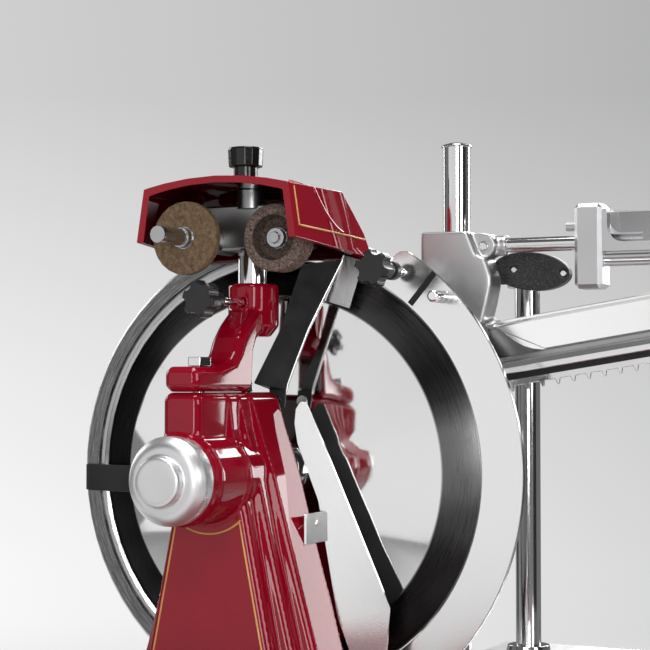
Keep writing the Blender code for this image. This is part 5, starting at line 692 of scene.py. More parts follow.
def make_materials(colours):
    """Makes every finish, the coloured ones in the colours of the property group."""
    red, plastic = tuple(colours.enamel), tuple(colours.plastic)
    tan, brown = tuple(colours.tan_stone), tuple(colours.brown_stone)
    enamel("red_enamel", red)
    # A copy of the red enamel at 0.14 of its brightness: painted shade inside the cover and on the
    # rears of the column and bracket
    enamel("painted_shade_enamel", shade(red, 0.14))
    for name, finish in METALS.items():
        metal(name, *finish)
    for name, (level, lean) in LEANING.items():
        leaning_steel(name, grey(level), lean)
    for name, skin in SKINS.items():
        moulded(name, *skin)
    oxide_sheet("dark_steel", (0.02, 0.02, 0.021))
    plate_steel("plate_steel")
    blade_steel("blade_steel")
    ring_metal("ring_metal")
    moulded("black_plastic", plastic, 0.34, 500.0, 0.08)
    moulded("glossy_plastic", shade(plastic, 0.6), 0.18, 300.0, 0.03)
    moulded("grained_plastic", plastic, 0.42, 1250.0, 1.0, speck=6.0)
    moulded("gold_line", tuple(colours.line), 0.35, 300.0, 0.05)
    stone("tan_stone", tan, (0.085, 0.052, 0.028), (0.22, 0.155, 0.1), 300.0)
    stone("brown_stone", brown, (0.035, 0.022, 0.018), (0.4, 0.3, 0.27), 480.0)
    # A darker copy of the honing stone: painted shade in the cup stone's hollow
    stone("shaded_hollow_stone", shade(brown, 0.55), (0.012, 0.008, 0.006), (0.17, 0.12, 0.1), 480.0)


# The finish that each of the record's slots gets
FINISH_OF_SLOT = {
    "red_enamel": "red_enamel",
    "polished_steel": "polished_steel",
    "mirror_blade": "blade_steel",
    "satin_aluminium": "satin_aluminium",
    "dark_steel": "oiled_steel",
    "bronze": "bronze",
    "black_plastic": "black_plastic",
    "black_rubber": "black_rubber",
    "tan_stone": "tan_stone",
    "brown_stone": "brown_stone",
}
# The machined pieces whose finish differs from their slot's
OWN_FINISH = {
    "guard_ring": "ring_metal",
    "guard_plate": "plate_steel",
    "ring_arm": "black_plastic",
    "upper_deflector": "dark_steel",
    "lower_deflector": "leaning_steel",
    "meat_table": "tray_steel",
    "slice_tray": "tray_steel",
    "push_pin": "zinc_steel",
    "cup_stone_spindle": "zinc_steel",
    "sharpener_head": "shaded_steel",
    "deflector_pin": "zinc_steel",
    "press_arm": "arm_steel",
    "press_end_block": "cast_aluminium",
}
# Each casting's grid as a share of the common one, its rounds of smoothing and its finish
CASTINGS = {
    "column_casting": (0.78, 6, "red_enamel"),
    "sharpener_bracket": (0.6, 6, "red_enamel"),
    "base_casting": (1.9, 8, "red_enamel"),
    "press_bracket": (0.6, 8, "cast_aluminium"),
}
# How far below the hub the painted shade on the column's rear ends
COLUMN_REAR_SHADE_DROP = 0.13
# How squarely a face of the cover looks at its middle to be given painted shade, and the front rim
# that is left unshaded
LOOKS_INWARD, COVER_RIM = 0.25, 0.002
# The cup stone's hollow, darkened as painted shade: its share of the radius, and the depth at the
# stone's faces that is left unshaded
HOLLOW_SHARE, STONE_RIM = 0.69, 0.0006
STAR_KNOBS = ("post_knob", "guard_knob")
MODELLED_ANEW = (*CASTINGS, *STAR_KNOBS, "cover_knob", "press_handle", "hub_cap")


class SlicerSizes(bpy.types.PropertyGroup):
    edge: bpy.props.FloatProperty(
        name="Edge radius",
        description="Radius of the eased edges of machined pieces",
        default=0.0006,
        unit="LENGTH",
    )
    casting_grid: bpy.props.FloatProperty(
        name="Casting grid",
        description="Size of the grid that a casting is remade on",
        default=0.0018,
        unit="LENGTH",
    )
    line_radius: bpy.props.FloatProperty(
        name="Pinstripe",
        description="Half the width of a painted line",
        default=0.0007,
        unit="LENGTH",
    )


class SlicerColours(bpy.types.PropertyGroup):
    enamel: bpy.props.FloatVectorProperty(
        name="Enamel",
        description="Colour of the castings",
        default=(0.26, 0.001, 0.013),
        subtype="COLOR",
    )
    plastic: bpy.props.FloatVectorProperty(
        name="Plastic",
        description="Colour of the knobs",
        default=(0.011, 0.011, 0.012),
        subtype="COLOR",
    )
    tan_stone: bpy.props.FloatVectorProperty(
        name="Grinding stone",
        description="Colour of the flat stone",
        default=(0.15, 0.098, 0.058),
        subtype="COLOR",
    )
    brown_stone: bpy.props.FloatVectorProperty(
        name="Honing stone",
        description="Colour of the cup stone",
        default=(0.145, 0.104, 0.086),
        subtype="COLOR",
    )
    line: bpy.props.FloatVectorProperty(
        name="Pinstripe",
        description="Colour of the painted lines",
        default=(0.58, 0.3, 0.09),
        subtype="COLOR",
    )


# The camera's turn and tilt, and its place measured from the hub
VIEW_TURN, VIEW_TILT = 26.15, 1.909
VIEW_DISTANCE, VIEW_ASIDE, VIEW_HEIGHT = 1.317, 0.02974, 0.0626
SENSOR_WIDTH, IMAGE_WIDTH, FOCAL_PIXELS = 36.0, 650, 1800
FLOOR_SIZE, FLOOR_GRID, FLOOR_HEIGHT = 12.0, 8, -0.0002
# Each soft lamp's place, aim, size and power
LAMPS = {
    "front_card": ((-0.7, -3.0, 0.75), (0, 0, 0.75), (4.4, 1.7), 15.0),
    "upper_front_card": ((-1.2, -3.0, 2.0), (0.1, 0, 0.8), (1.8, 0.6), 3.1),
    "front_lamp": ((0.9, -2.4, 2.3), (0, 0, 0.45), (0.7, 0.5), 14.0),
    "right_lamp": ((2.65, -1.2, 1.15), (0, 0, 0.6), (0.8, 1.2), 16.0),
    "rear_lamp": ((0.1, 2.9, 1.9), (0, 0, 0.6), (1.9, 0.9), 46.0),
    "low_rear_lamp": ((1.55, 2.9, 1.1), (0, 0, 0.6), (1.0, 0.5), 16.0),
    "flute_card": ((1.6, -2.8, 0.86), (1.6, 0, 0.86), (1.1, 1.02), 26.0),
    "top_lamp": ((0.2, -0.2, 2.8), (0, 0, 0.4), (1.2, 1.2), 40.0),
    "left_lamp": ((-2.6, 0.6, 1.3), (0, 0, 0.5), (1.2, 1.2), 20.0),
}
# The corners of each black board
FLAGS = {
    "right_flag": ((2.2, -0.7, -0.1), (2.22, 0.6, 1.9)),
    "front_flag": ((0.9, -2.9, 0.0), (1.9, -2.88, 2.0)),
    "left_flag": ((-2.6, -0.2, 0.0), (-2.58, 0.9, 1.8)),
}


class SLICER_OT_stage(bpy.types.Operator):
    """Adds the camera, the pale floor and the soft lamps"""

    bl_idname = "slicer.stage"
    bl_label = "Stage"

    def execute(self, context):
        self.add_camera(context)
        self.add_floor()
        self.add_lamps(context)
        self.add_flags()
        self.set_world(context)
        context.scene.view_settings.view_transform = "Standard"
        return {"FINISHED"}

    def add_camera(self, context):
        """The photograph's view of the machine."""
        turn = math.radians(VIEW_TURN)
        right = Vector((math.cos(turn), math.sin(turn), 0))
        forward = Vector((-right.y, right.x, 0))
        data = bpy.data.cameras.new("camera")
        data.sensor_width = SENSOR_WIDTH
        data.lens = FOCAL_PIXELS / IMAGE_WIDTH * SENSOR_WIDTH
        camera = bpy.data.objects.new("camera", data)
        camera.location = at(0, 0, VIEW_HEIGHT) - forward * VIEW_DISTANCE + right * VIEW_ASIDE
        camera.rotation_euler = (math.radians(90 + VIEW_TILT), 0, turn)
        context.scene.collection.objects.link(camera)
        context.scene.camera = camera

    def add_floor(self):
        """A pale floor under the feet."""
        deselect()
        bpy.ops.mesh.primitive_grid_add(
            x_subdivisions=FLOOR_GRID,
            y_subdivisions=FLOOR_GRID,
            size=FLOOR_SIZE,
            location=(0, 0, FLOOR_HEIGHT),
        )
        floor = named("floor")
        settle(floor)
        pale_paper("floor_paper", grey(0.8))
        coat(floor, "floor_paper")

    def add_lamps(self, context):
        """Soft lamps, which no view shows themselves."""
        for name, (place, aim, size, power) in LAMPS.items():
            data = bpy.data.lights.new(name, "AREA")
            data.energy = power
            data.shape = "RECTANGLE"
            data.size, data.size_y = size
            lamp = bpy.data.objects.new(name, data)
            lamp.location = place
            way = Vector(aim) - Vector(place)
            lamp.rotation_euler = way.to_track_quat("-Z", "Y").to_euler()
            lamp.visible_camera = False
            context.scene.collection.objects.link(lamp)

    def add_flags(self):
        """Black boards outside the picture, which bright metal shows as dark bands."""
        moulded("flag_cloth", grey(0.01), 0.9, 40.0, 0.1)
        for name, (low, high) in FLAGS.items():
            flag = block(name, low, high)
            coat(flag, "flag_cloth")
            flag.visible_camera = False
            flag.visible_diffuse = False
            flag.visible_shadow = False

    def set_world(self, context):
        """Grey backdrop, brighter low down and to the left, that the camera and mirrors see."""
        world = bpy.data.worlds.new("studio")
        world.use_nodes = True
        tree = world.node_tree
        place = add_node(tree, "ShaderNodeTexCoord").outputs["Generated"]
        way = add_node(tree, "ShaderNodeSeparateXYZ", {"Vector": place}).outputs
        rise = spread(tree, way["Z"], 0.0, 1.0, -0.10, 0.16)
        tint = ramp(tree, rise, ((0.0, 0.96), (0.45, 0.84), (1.0, 0.64)))
        side = spread(tree, way["X"], 1.0, 0.72, -0.62, -0.26)
        rays = add_node(tree, "ShaderNodeLightPath").outputs
        mirrored = maths(tree, "MULTIPLY_ADD", rays["Is Glossy Ray"], -0.05, 0.3)
        give(tree, tree.nodes["Background"], {
            "Color": vectors(tree, "MULTIPLY", tint, side),
            "Strength": maths(tree, "MAXIMUM", rays["Is Camera Ray"], mirrored),
        })
        context.scene.world = world


class SLICER_OT_finishes(bpy.types.Operator):
    """Makes the finishes and puts them on the frame's own nodes"""

    bl_idname = "slicer.finishes"
    bl_label = "Finishes"

    def execute(self, context):
        make_materials(context.scene.slicer_colours)
        for name, piece in frame["nodes"].items():
            coat(piece, FINISH_OF_SLOT[SLOT_OF[name]])
        return {"FINISHED"}


class SLICER_OT_castings(bpy.types.Operator):
    """Remakes the enamelled and polished castings with soft edges and fillets"""

    bl_idname = "slicer.castings"
    bl_label = "Castings"

    def execute(self, context):
        grid = context.scene.slicer_sizes.casting_grid
        for name, (share, rounds, finish) in CASTINGS.items():
            stand_in(cast(name, grid * share, rounds), name, finish)
        # Painted shade: darker enamel on the column's rear faces above that height and on all the
        # bracket's rear faces
        paint_rear_shade("column_casting", "painted_shade_enamel", HUB_Z - COLUMN_REAR_SHADE_DROP)
        paint_rear_shade("sharpener_bracket", "painted_shade_enamel")
        return {"FINISHED"}


class SLICER_OT_machined(bpy.types.Operator):
    """Eases the edges of the machined, moulded and pressed pieces"""

    bl_idname = "slicer.machined"
    bl_label = "Machined pieces"

    def execute(self, context):
        edge = context.scene.slicer_sizes.edge
        for name in sorted(frame["nodes"]):
            if name not in MODELLED_ANEW:
                finish = OWN_FINISH.get(name, FINISH_OF_SLOT[SLOT_OF[name]])
                stand_in(crisp(name, edge), name, finish)
        # Painted shade inside the cover
        self.paint_cover_inside_shade()
        # Painted shade in the cup stone's hollow
        self.paint_cup_hollow_shade()
        # Painted shade on the lower deflector's back
        paint_rear_shade("lower_deflector", "painted_rear_shade")
        return {"FINISHED"}

    def paint_cover_inside_shade(self):
        """Painted shade: darker enamel on the cover's faces that look at its middle."""
        centre, low, _ = middle("sharpener_cover")
        front_rim = low.y + COVER_RIM

        def looks_inward(face):
            inward = (centre - face.center).normalized()
            return inward.dot(face.normal) > LOOKS_INWARD and face.center.y > front_rim

        paint_faces("sharpener_cover", "painted_shade_enamel", looks_inward)

    def paint_cup_hollow_shade(self):
        """Painted shade: darker grit in the hollow of the cup stone."""
        centre, low, high = middle("cup_stone")
        hollow = (high.z - low.z) / 2 * HOLLOW_SHARE

        def in_hollow(face):
            reach = math.hypot(face.center.x - centre.x, face.center.z - centre.z)
            return reach < hollow and low.y + STONE_RIM < face.center.y < high.y - STONE_RIM

        paint_faces("cup_stone", "shaded_hollow_stone", in_hollow)


# The offset and radius at each step of a star knob of this radius, from its face back
STAR_RADIUS = 0.0128
STAR_PROFILE = (
    (0.0004, 0.0102), (0.0, 0.0112), (0.0008, 0.0124), (0.0018, 0.0128), (0.0112, 0.0128),
    (0.0150, 0.0080), (0.0170, 0.0064), (0.0230, 0.0060), (0.0290, 0.0056),
)
NOTCHES, NOTCH_TURN, NOTCH_REACH, NOTCH_RADIUS, NOTCH_DEPTH = 6, 14, 0.0138, 0.0045, 0.05
COLLAR_PROFILE = ((0.0320, 0.0050), (0.0326, 0.0066), (0.0380, 0.0066), (0.0386, 0.0050))
STEM_START, STEM_RADIUS, STEM_END_RADIUS, STEM_CHAMFER = 0.0270, 0.0028, 0.0018, 0.0012
# The cover's knob, measured down from its top
COVER_KNOB_NECK, COVER_KNOB_NECK_RADIUS = 0.0128, 0.0084
COVER_KNOB_PROFILE = (
    (-0.0140, 0.0110), (-0.0134, 0.0121), (-0.0016, 0.0127), (-0.0004, 0.0122), (0.0, 0.0106),
    (-0.0006, 0.0098), (-0.0006, 0.0040),
)


class SLICER_OT_knobs(bpy.types.Operator):
    """Models the star knobs and the faceted knob on the cover"""

    bl_idname = "slicer.knobs"
    bl_label = "Knobs"

    def execute(self, context):
        for name in STAR_KNOBS:
            self.add_star(name)
        self.add_cover_knob()
        return {"FINISHED"}

    def add_star(self, name):
        """Disc with six round notches, a cone behind it, a hub and the bright screw."""
        centre, low, high = middle(name)
        grow = (high.x - low.x) / 2 / STAR_RADIUS
        face = Vector((centre.x, low.y, centre.z))
        profile = [(offset * grow, radius * grow) for offset, radius in STAR_PROFILE]
        head = turned("star_" + name, profile, face, steps=96)
        notches = []
        for index in range(NOTCHES):
            x, height = polar(NOTCH_REACH * grow, 360 / NOTCHES * index + NOTCH_TURN)
            place = face + Vector((x, 0, height))
            notches.append(drill(place, NOTCH_RADIUS * grow, NOTCH_DEPTH * grow))
        cut(head, *notches)
        eased(head, 0.0009 * grow, 3, 40.0)
        stand_in(head, name, "black_plastic")
        if name == "guard_knob":
            collar = smooth(turned("collar_" + name, COLLAR_PROFILE, face, steps=36), 30.0)
            fit(collar, name, "black_plastic")
        length = high.y - low.y
        profile = (
            (STEM_START * grow, STEM_RADIUS * grow),
            (length - STEM_CHAMFER, STEM_RADIUS * grow),
            (length, STEM_END_RADIUS * grow),
        )
        stem = smooth(turned("screw_" + name, profile, face, steps=24), 30.0)
        fit(stem, name, "polished_steel")

    def add_cover_knob(self):
        """Fourteen flat sides that lean outward to the top, on a round neck."""
        centre, low, high = middle("cover_knob")
        foot = Vector((centre.x, centre.y, low.z))
        tall = high.z - low.z
        profile = ((0, COVER_KNOB_NECK_RADIUS), (tall - COVER_KNOB_NECK, COVER_KNOB_NECK_RADIUS))
        neck = smooth(turned("cover_knob_neck", profile, foot, "Z", 48), 30.0)
        profile = [(tall + offset, radius) for offset, radius in COVER_KNOB_PROFILE]
        head = eased(turned("cover_knob_head", profile, foot, "Z", 14), 0.0005, 2, 20.0)
        stand_in(join([head, neck], "dressed_cover_knob"), "cover_knob", "glossy_plastic")


# The cap's front, and the offset behind it and the radius at each step from its middle outward
CAP_FRONT = -0.1797
CAP_PROFILE = (
    (0.0010, 0.0060), (0.0006, 0.0120), (0.0008, 0.0146), (0.0014, 0.0158), (0.0024, 0.0163),
    (0.0050, 0.0164), (0.0064, 0.0167), (0.0072, 0.0173), (0.0076, 0.0184), (0.0075, 0.0198),
    (0.0076, 0.0214), (0.0081, 0.0230), (0.0092, 0.0248), (0.0110, 0.0266), (0.0130, 0.0279),
    (0.0142, 0.0286), (0.0148, 0.0290), (0.0152, 0.0292), (0.0245, 0.0292), (0.0241, 0.0286),
    (0.0241, 0.0150),
)
KNURL_PROFILE = ((0.0156, 0.0286), (0.0161, 0.0294), (0.0207, 0.0294), (0.0212, 0.0286))
KNURL_CORNERS, KNURL_SHARE = 240, 0.966
KNURL_OUTSIDE = 0.0290


class SLICER_OT_hub_cap(bpy.types.Operator):
    """Turns the hub cap with its boss, hollow ring and knurled rim"""

    bl_idname = "slicer.hub_cap"
    bl_label = "Hub cap"

    def execute(self, context):
        place = at(0, CAP_FRONT, 0)
        face = smooth(turned("hub_cap_face", CAP_PROFILE, place, steps=160), 60.0)
        knurl = self.add_knurl(place)
        stand_in(join([face, knurl], "dressed_hub_cap"), "hub_cap", "satin_aluminium")
        return {"FINISHED"}

    def add_knurl(self, place):
        """Band of fine teeth: a ring whose every other corner is pulled in."""
        knurl = turned("hub_cap_knurl", KNURL_PROFILE, place, steps=KNURL_CORNERS)
        mesh = knurl.data
        for element in (*mesh.polygons, *mesh.edges):
            element.select = False
        for vertex in mesh.vertices:
            reach = vertex.co - place
            reach.y = 0
            corner = round(math.degrees(math.atan2(reach.z, reach.x)) * KNURL_CORNERS / 360)
            vertex.select = corner % 2 == 0 and reach.length > KNURL_OUTSIDE
        only(knurl)
        bpy.ops.object.mode_set(mode="EDIT")
        bpy.ops.mesh.select_mode(type="VERT")
        bpy.ops.transform.resize(value=(KNURL_SHARE, 1.0, KNURL_SHARE), center_override=place)
        done()
        return knurl


# Places along the upper deflector's honed edge, and the corners of its wing
DEFLECTOR_EDGE = (
    (0.0192, -0.0333, 0.0580), (0.0200, -0.0331, 0.0635), (0.0264, -0.0307, 0.0820),
    (0.0334, -0.0280, 0.1014), (0.0440, -0.0221, 0.1265), (0.0549, -0.0160, 0.1515),
)
WING_CORNERS = ((0.0564, 0.1549), (0.0715, 0.1506), (0.0604, 0.1169), (0.0412, 0.1226))
DEFLECTOR_EDGE_RADIUS = 0.0011
WING_FRONT, WING_DEPTH = -0.0165, 0.0012
WING_LIP_FRONT, WING_LIP_ASIDE, WING_LIP_RADIUS = -0.0163, 0.0004, 0.0008
# The plate's slot and stud, by their angle and reach from the hub
SLOT_TURN, SLOT_START, SLOT_END, SLOT_HALF = 49.5, 0.1572, 0.1858, 0.0022
SLOT_FRONT, SLOT_DEPTH = -0.0046, 0.0008
STUD_TURN, STUD_REACH, STUD_FRONT = 44.1, 0.1781, -0.0003
STUD_PROFILE = (
    (-0.0236, 0.0008), (-0.0234, 0.0018), (-0.0226, 0.0032), (-0.0212, 0.0042), (-0.0136, 0.0043),
    (-0.0132, 0.0036), (-0.0122, 0.0036), (-0.0118, 0.0043), (-0.0046, 0.0043),
)
# Each stone's nut: what carries it, its place and its radius
STONE_NUTS = {
    "flat_stone_nut": ("push_pin", (-0.0275, -0.1012, 0.1642), 0.0066),
    "cup_stone_nut": ("cup_stone_spindle", (0.0305, -0.0716, 0.1642), 0.0062),
}
NUT_DEPTH, WASHER_DEPTH, WASHER_SHARE = 0.0034, 0.0042, 1.16
FLANGE_SCREW = (0.0470, -0.0434, -0.0336)
# Radius and height of a small screw's head
SMALL_HEAD = (0.0024, 0.0014)


class SLICER_OT_small_pieces(bpy.types.Operator):
    """Adds the deflector's edge and wing, the plate's slot and stud, the nuts and a screw"""

    bl_idname = "slicer.small_pieces"
    bl_label = "Small pieces"

    def execute(self, context):
        self.add_deflector_edge()
        self.add_plate_slot()
        self.add_stone_nuts()
        head = screw("flange_screw", at(*FLANGE_SCREW), "X", *SMALL_HEAD)
        fit(head, "lower_deflector", "zinc_steel")
        return {"FINISHED"}

    def add_deflector_edge(self):
        """Honed right edge of the upper deflector, and the brushed wing with its bright lip."""
        edge = wire("deflector_edge", [at(*spot) for spot in DEFLECTOR_EDGE], DEFLECTOR_EDGE_RADIUS)
        fit(edge, "upper_deflector", "bright_steel")
        wing = eased(flat("deflector_wing", WING_CORNERS, WING_FRONT, WING_DEPTH), 0.0003, 2)
        fit(wing, "upper_deflector", "brushed_steel")
        left_side = (WING_CORNERS[0], WING_CORNERS[3])
        spots = [at(x - WING_LIP_ASIDE, WING_LIP_FRONT, height) for x, height in left_side]
        lip = wire("deflector_wing_edge", spots, WING_LIP_RADIUS)
        fit(lip, "upper_deflector", "bright_steel")

    def add_plate_slot(self):
        """Dark bar let into the guard plate, and the grooved stud beside it."""
        out = Vector(polar(1.0, SLOT_TURN))
        side = Vector((-out.y, out.x)) * SLOT_HALF
        start, end = out * SLOT_START, out * SLOT_END
        outline = (start - side, end - side, end + side, start + side)
        bar = flat("plate_slot", outline, SLOT_FRONT, SLOT_DEPTH)
        fit(bar, "guard_plate", "black_paint_and_shadow")
        x, height = polar(STUD_REACH, STUD_TURN)
        place = at(x, STUD_FRONT, height)
        stud = smooth(turned("guard_stud", STUD_PROFILE, place, steps=40), 40.0)
        fit(stud, "guard_plate", "shaded_steel")

    def add_stone_nuts(self):
        """Six-sided nuts and washers that hold the two stones."""
        for name, (carrier, place, radius) in STONE_NUTS.items():
            profile = ((0, radius * 0.9), (0.0006, radius), (NUT_DEPTH, radius))
            nut = eased(turned(name, profile, at(*place), steps=6), 0.0003, 2, 20.0)
            fit(nut, carrier, "zinc_steel")
            wide = radius * WASHER_SHARE
            profile = ((NUT_DEPTH, wide), (WASHER_DEPTH, wide))
            washer = smooth(turned(name + "_washer", profile, at(*place), steps=40), 30.0)
            fit(washer, carrier, "zinc_steel")


# Half the column's width at heights from the hub down, the last at its foot
COLUMN_STATIONS = ((0.0, 0.0245), (-0.0450, 0.0331), (-0.1200, 0.0482), (-0.1950, 0.0648))
COLUMN_FOOT_HALF = 0.0691
COLUMN_LINE_INSET, COLUMN_LINE_LIFT, COLUMN_ARC_REACH = 0.0056, 0.012, 0.0376
# The arc's turns in degrees, and the steps down each flank
COLUMN_ARC_TURNS = [-48 - 3.5 * step for step in range(25)]
COLUMN_FLANK_STEPS = 20
# Where looks at the column, the base and the flywheel start
LOOK_FROM, BASE_LOOK, RIM_LOOK = -0.2, 0.5, 0.05
# Places on the cover's sides, as (depth, height)
COVER_RISE = [(-0.0968, 0.1966 - 0.0022 * step) for step in range(13)]
COVER_FOOT = [(-0.0968 + 0.0031 * step, 0.1700 - 0.00012 * step) for step in range(31)]
COVER_CREASE = (
    (-0.0710, 0.2020), (-0.0694, 0.1965), (-0.0672, 0.1925), (-0.0645, 0.1888), (-0.0615, 0.1850),
    (-0.0580, 0.1812), (-0.0530, 0.1768), (-0.0475, 0.1728), (-0.0420, 0.1700), (-0.0370, 0.1686),
)
COVER_OUTSIDE, CREASE_RADIUS, CREASE_SINK = 0.12, 0.0021, 0.0014
# The base's lines: their gap to the base's foot, top and corners, and their corners' radius
BASE_LINE_LOW, BASE_LINE_HIGH, BASE_LINE_ASIDE, BASE_LINE_CORNER = 0.078, 0.034, 0.062, 0.016
BASE_SIDES = ((0, 1), (-1, 0), (0, -1), (1, 0))
FLYWHEEL_LINE_INSET, FLYWHEEL_LINE_STEPS = 0.011, 120


def gold_line(name, node, spots, radius, closed=True):
    """A painted line that rides with the node under it."""
    fit(wire(name, spots, radius, closed), node, "gold_line")


def column_half_width(height, foot):
    """Half the width of the line's frame at a height from the hub."""
    stations = (*COLUMN_STATIONS, (foot, COLUMN_FOOT_HALF))
    for (upper, upper_half), (lower, lower_half) in zip(stations, stations[1:]):
        if height >= lower:
            share = (height - upper) / (lower - upper)
            return upper_half + share * (lower_half - upper_half) - COLUMN_LINE_INSET
    return COLUMN_FOOT_HALF - COLUMN_LINE_INSET


class SLICER_OT_pinstripes(bpy.types.Operator):
    """Paints the gold lines on column, cover, base and flywheel, and adds the cover's crease"""

    bl_idname = "slicer.pinstripes"
    bl_label = "Pinstripes"

    def execute(self, context):
        radius = context.scene.slicer_sizes.line_radius
        self.add_column_line(radius)
        self.add_cover_lines(radius)
        self.add_base_lines(radius)
        self.add_flywheel_line(radius)
        return {"FINISHED"}

    def add_column_line(self, radius):
        """Line inside the column's front: an arc under the barrel, both flanks and the foot."""
        low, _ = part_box("column_casting")
        foot = low.z - HUB_Z
        path = [polar(COLUMN_ARC_REACH, turn) for turn in COLUMN_ARC_TURNS]
        top = path[0][1]
        drop = (foot + COLUMN_LINE_LIFT - top) / COLUMN_FLANK_STEPS
        heights = [top + drop * step for step in range(COLUMN_FLANK_STEPS + 1)]
        path += [(-column_half_width(height, foot), height) for height in heights]
        path += [(column_half_width(height, foot), height) for height in reversed(heights)]
        starts = [at(x, LOOK_FROM, height) for x, height in path]
        spots = spots_on("column_casting", starts, (0, 1, 0))
        gold_line("column_line", "column_casting", spots, radius)

    def add_cover_lines(self, radius):
        """Line along the foot of each side of the cover and up its front edge, and the crease."""
        for side, name in ((1, "right"), (-1, "left")):
            outside, way = COVER_OUTSIDE * side, (-side, 0, 0)
            starts = [at(outside, y, height) for y, height in COVER_RISE + COVER_FOOT]
            spots = spots_on("sharpener_cover", starts, way)
            gold_line("cover_line_" + name, "sharpener_cover", spots, radius, closed=False)
            starts = [at(outside, y, height) for y, height in COVER_CREASE]
            spots = spots_on("sharpener_cover", starts, way, CREASE_SINK)
            crease = wire("cover_crease_" + name, spots, CREASE_RADIUS, steps=6)
            fit(crease, "sharpener_cover", "red_enamel")

    def add_base_lines(self, radius):
        """A line with rounded corners on each side of the base."""
        centre, low, high = middle("base_casting")
        bottom, top = low.z + BASE_LINE_LOW, high.z - BASE_LINE_HIGH
        for index, (way_x, way_y) in enumerate(BASE_SIDES):
            way, across = Vector((way_x, way_y, 0)), Vector((way_y, -way_x, 0))
            half = abs(across.dot(high - low)) / 2 - BASE_LINE_ASIDE
            right, left = half - BASE_LINE_CORNER, BASE_LINE_CORNER - half
            lowest, highest = bottom + BASE_LINE_CORNER, top - BASE_LINE_CORNER
            corners = (
                (right, lowest, -90),
                (right, highest, 0),
                (left, highest, 90),
                (left, lowest, 180),
            )
            starts = []
            for corner_x, corner_height, first_turn in corners:
                for turn in range(first_turn, first_turn + 91, 15):
                    x, rise = polar(BASE_LINE_CORNER, turn)
                    start = centre + across * (corner_x + x) - way * BASE_LOOK
                    start.z = corner_height + rise
                    starts.append(start)
            spots = spots_on("base_casting", starts, way)
            gold_line(f"base_line_{index}", "base_casting", spots, radius)

    def add_flywheel_line(self, radius):
        """A circle on the front of the flywheel's rim."""
        centre, low, high = middle("flywheel")
        start = Vector((centre.x, low.y - RIM_LOOK, centre.z))
        reach = (high.z - low.z) / 2 - FLYWHEEL_LINE_INSET
        turns = [360 / FLYWHEEL_LINE_STEPS * step for step in range(FLYWHEEL_LINE_STEPS)]
        round_rim = [polar(reach, turn) for turn in turns]
        starts = [start + Vector((x, 0, height)) for x, height in round_rim]
        spots = spots_on("flywheel", starts, (0, 1, 0))
        gold_line("flywheel_line", "flywheel", spots, radius)


# The press handle's pad, with the places of its two screws and the path of its neck
PAD_MIDDLE, PAD_HALVES = (0.1670, 0.0643, 0.1450), (0.0295, 0.0140)
PAD_DEPTH, PAD_LEAN = 0.0090, 6
PAD_SCREWS = ((0.1539, 0.1464), (0.1916, 0.1428))
PAD_SCREW_DEPTH, PAD_HOLE_RADIUS, PAD_HOLE_DEPTH = 0.0670, 0.0027, 0.006
NECK_PATH = ((0.1340, 0.0680, 0.1400), (0.1450, 0.0685, 0.1390), (0.1600, 0.0690, 0.1400))
NECK_RADIUS = 0.0032
# The arm's lower left corner and tilt. Its faces are outlined from that corner, along the arm
ARM_CORNER, ARM_TILT = (0.1463, 0.0677), 9.0
# The facet and the band carry painted shade; the sheet over the comb's top is painted shadow
ARM_FACET = (
    (0.0008, 0.0132), (0.0008, 0.0389), (0.0050, 0.0370), (0.0100, 0.0335), (0.0150, 0.0286),
    (0.0200, 0.0236), (0.0260, 0.0190), (0.0330, 0.0158), (0.0436, 0.0132),
)
ARM_LEDGE_SHADE = ((0.0006, 0.0103), (0.1744, 0.0103), (0.1744, 0.0130), (0.0006, 0.0130))
COMB_SHADOW = ((0.0010, -0.0036), (0.1740, -0.0036), (0.1740, 0.0004), (0.0010, 0.0004))
ARM_FRONT, BAND_FRONT, BAND_DEPTH, THIN_SHEET = 0.0438, 0.0434, 0.0008, 0.0006
# The wing's hollow, darkened as painted shade: its round corner, and the outline on both sides of
# it
SCOOP_CORNER, SCOOP_CORNER_RADIUS = (0.2390, 0.1774), 0.0080
SCOOP_FRONT = 0.0515
SCOOP_TURNS = [11.25 * step for step in range(9)]
SCOOP_START = [(0.2310, 0.1838)]
SCOOP_END = [(0.2545, 0.1694), (0.2545, 0.1625), (0.3058, 0.1625), (0.3058, 0.1838)]
EAR_SCREW = (0.1410, 0.0386, 0.1622)
EAR_SCREW_RADIUS, EAR_SCREW_HEIGHT = 0.0030, -0.0012
EAR_RIM_PROFILE = ((0, 0.0044), (-0.0006, 0.0044), (-0.0006, 0.0036), (-0.0001, 0.0033))


def on_arm(outline):
    """Places on the tilted press arm."""
    corner = Vector(ARM_CORNER)
    along = Vector(polar(1.0, ARM_TILT))
    up = Vector((-along.y, along.x))
    return [corner + along * x + up * height for x, height in outline]


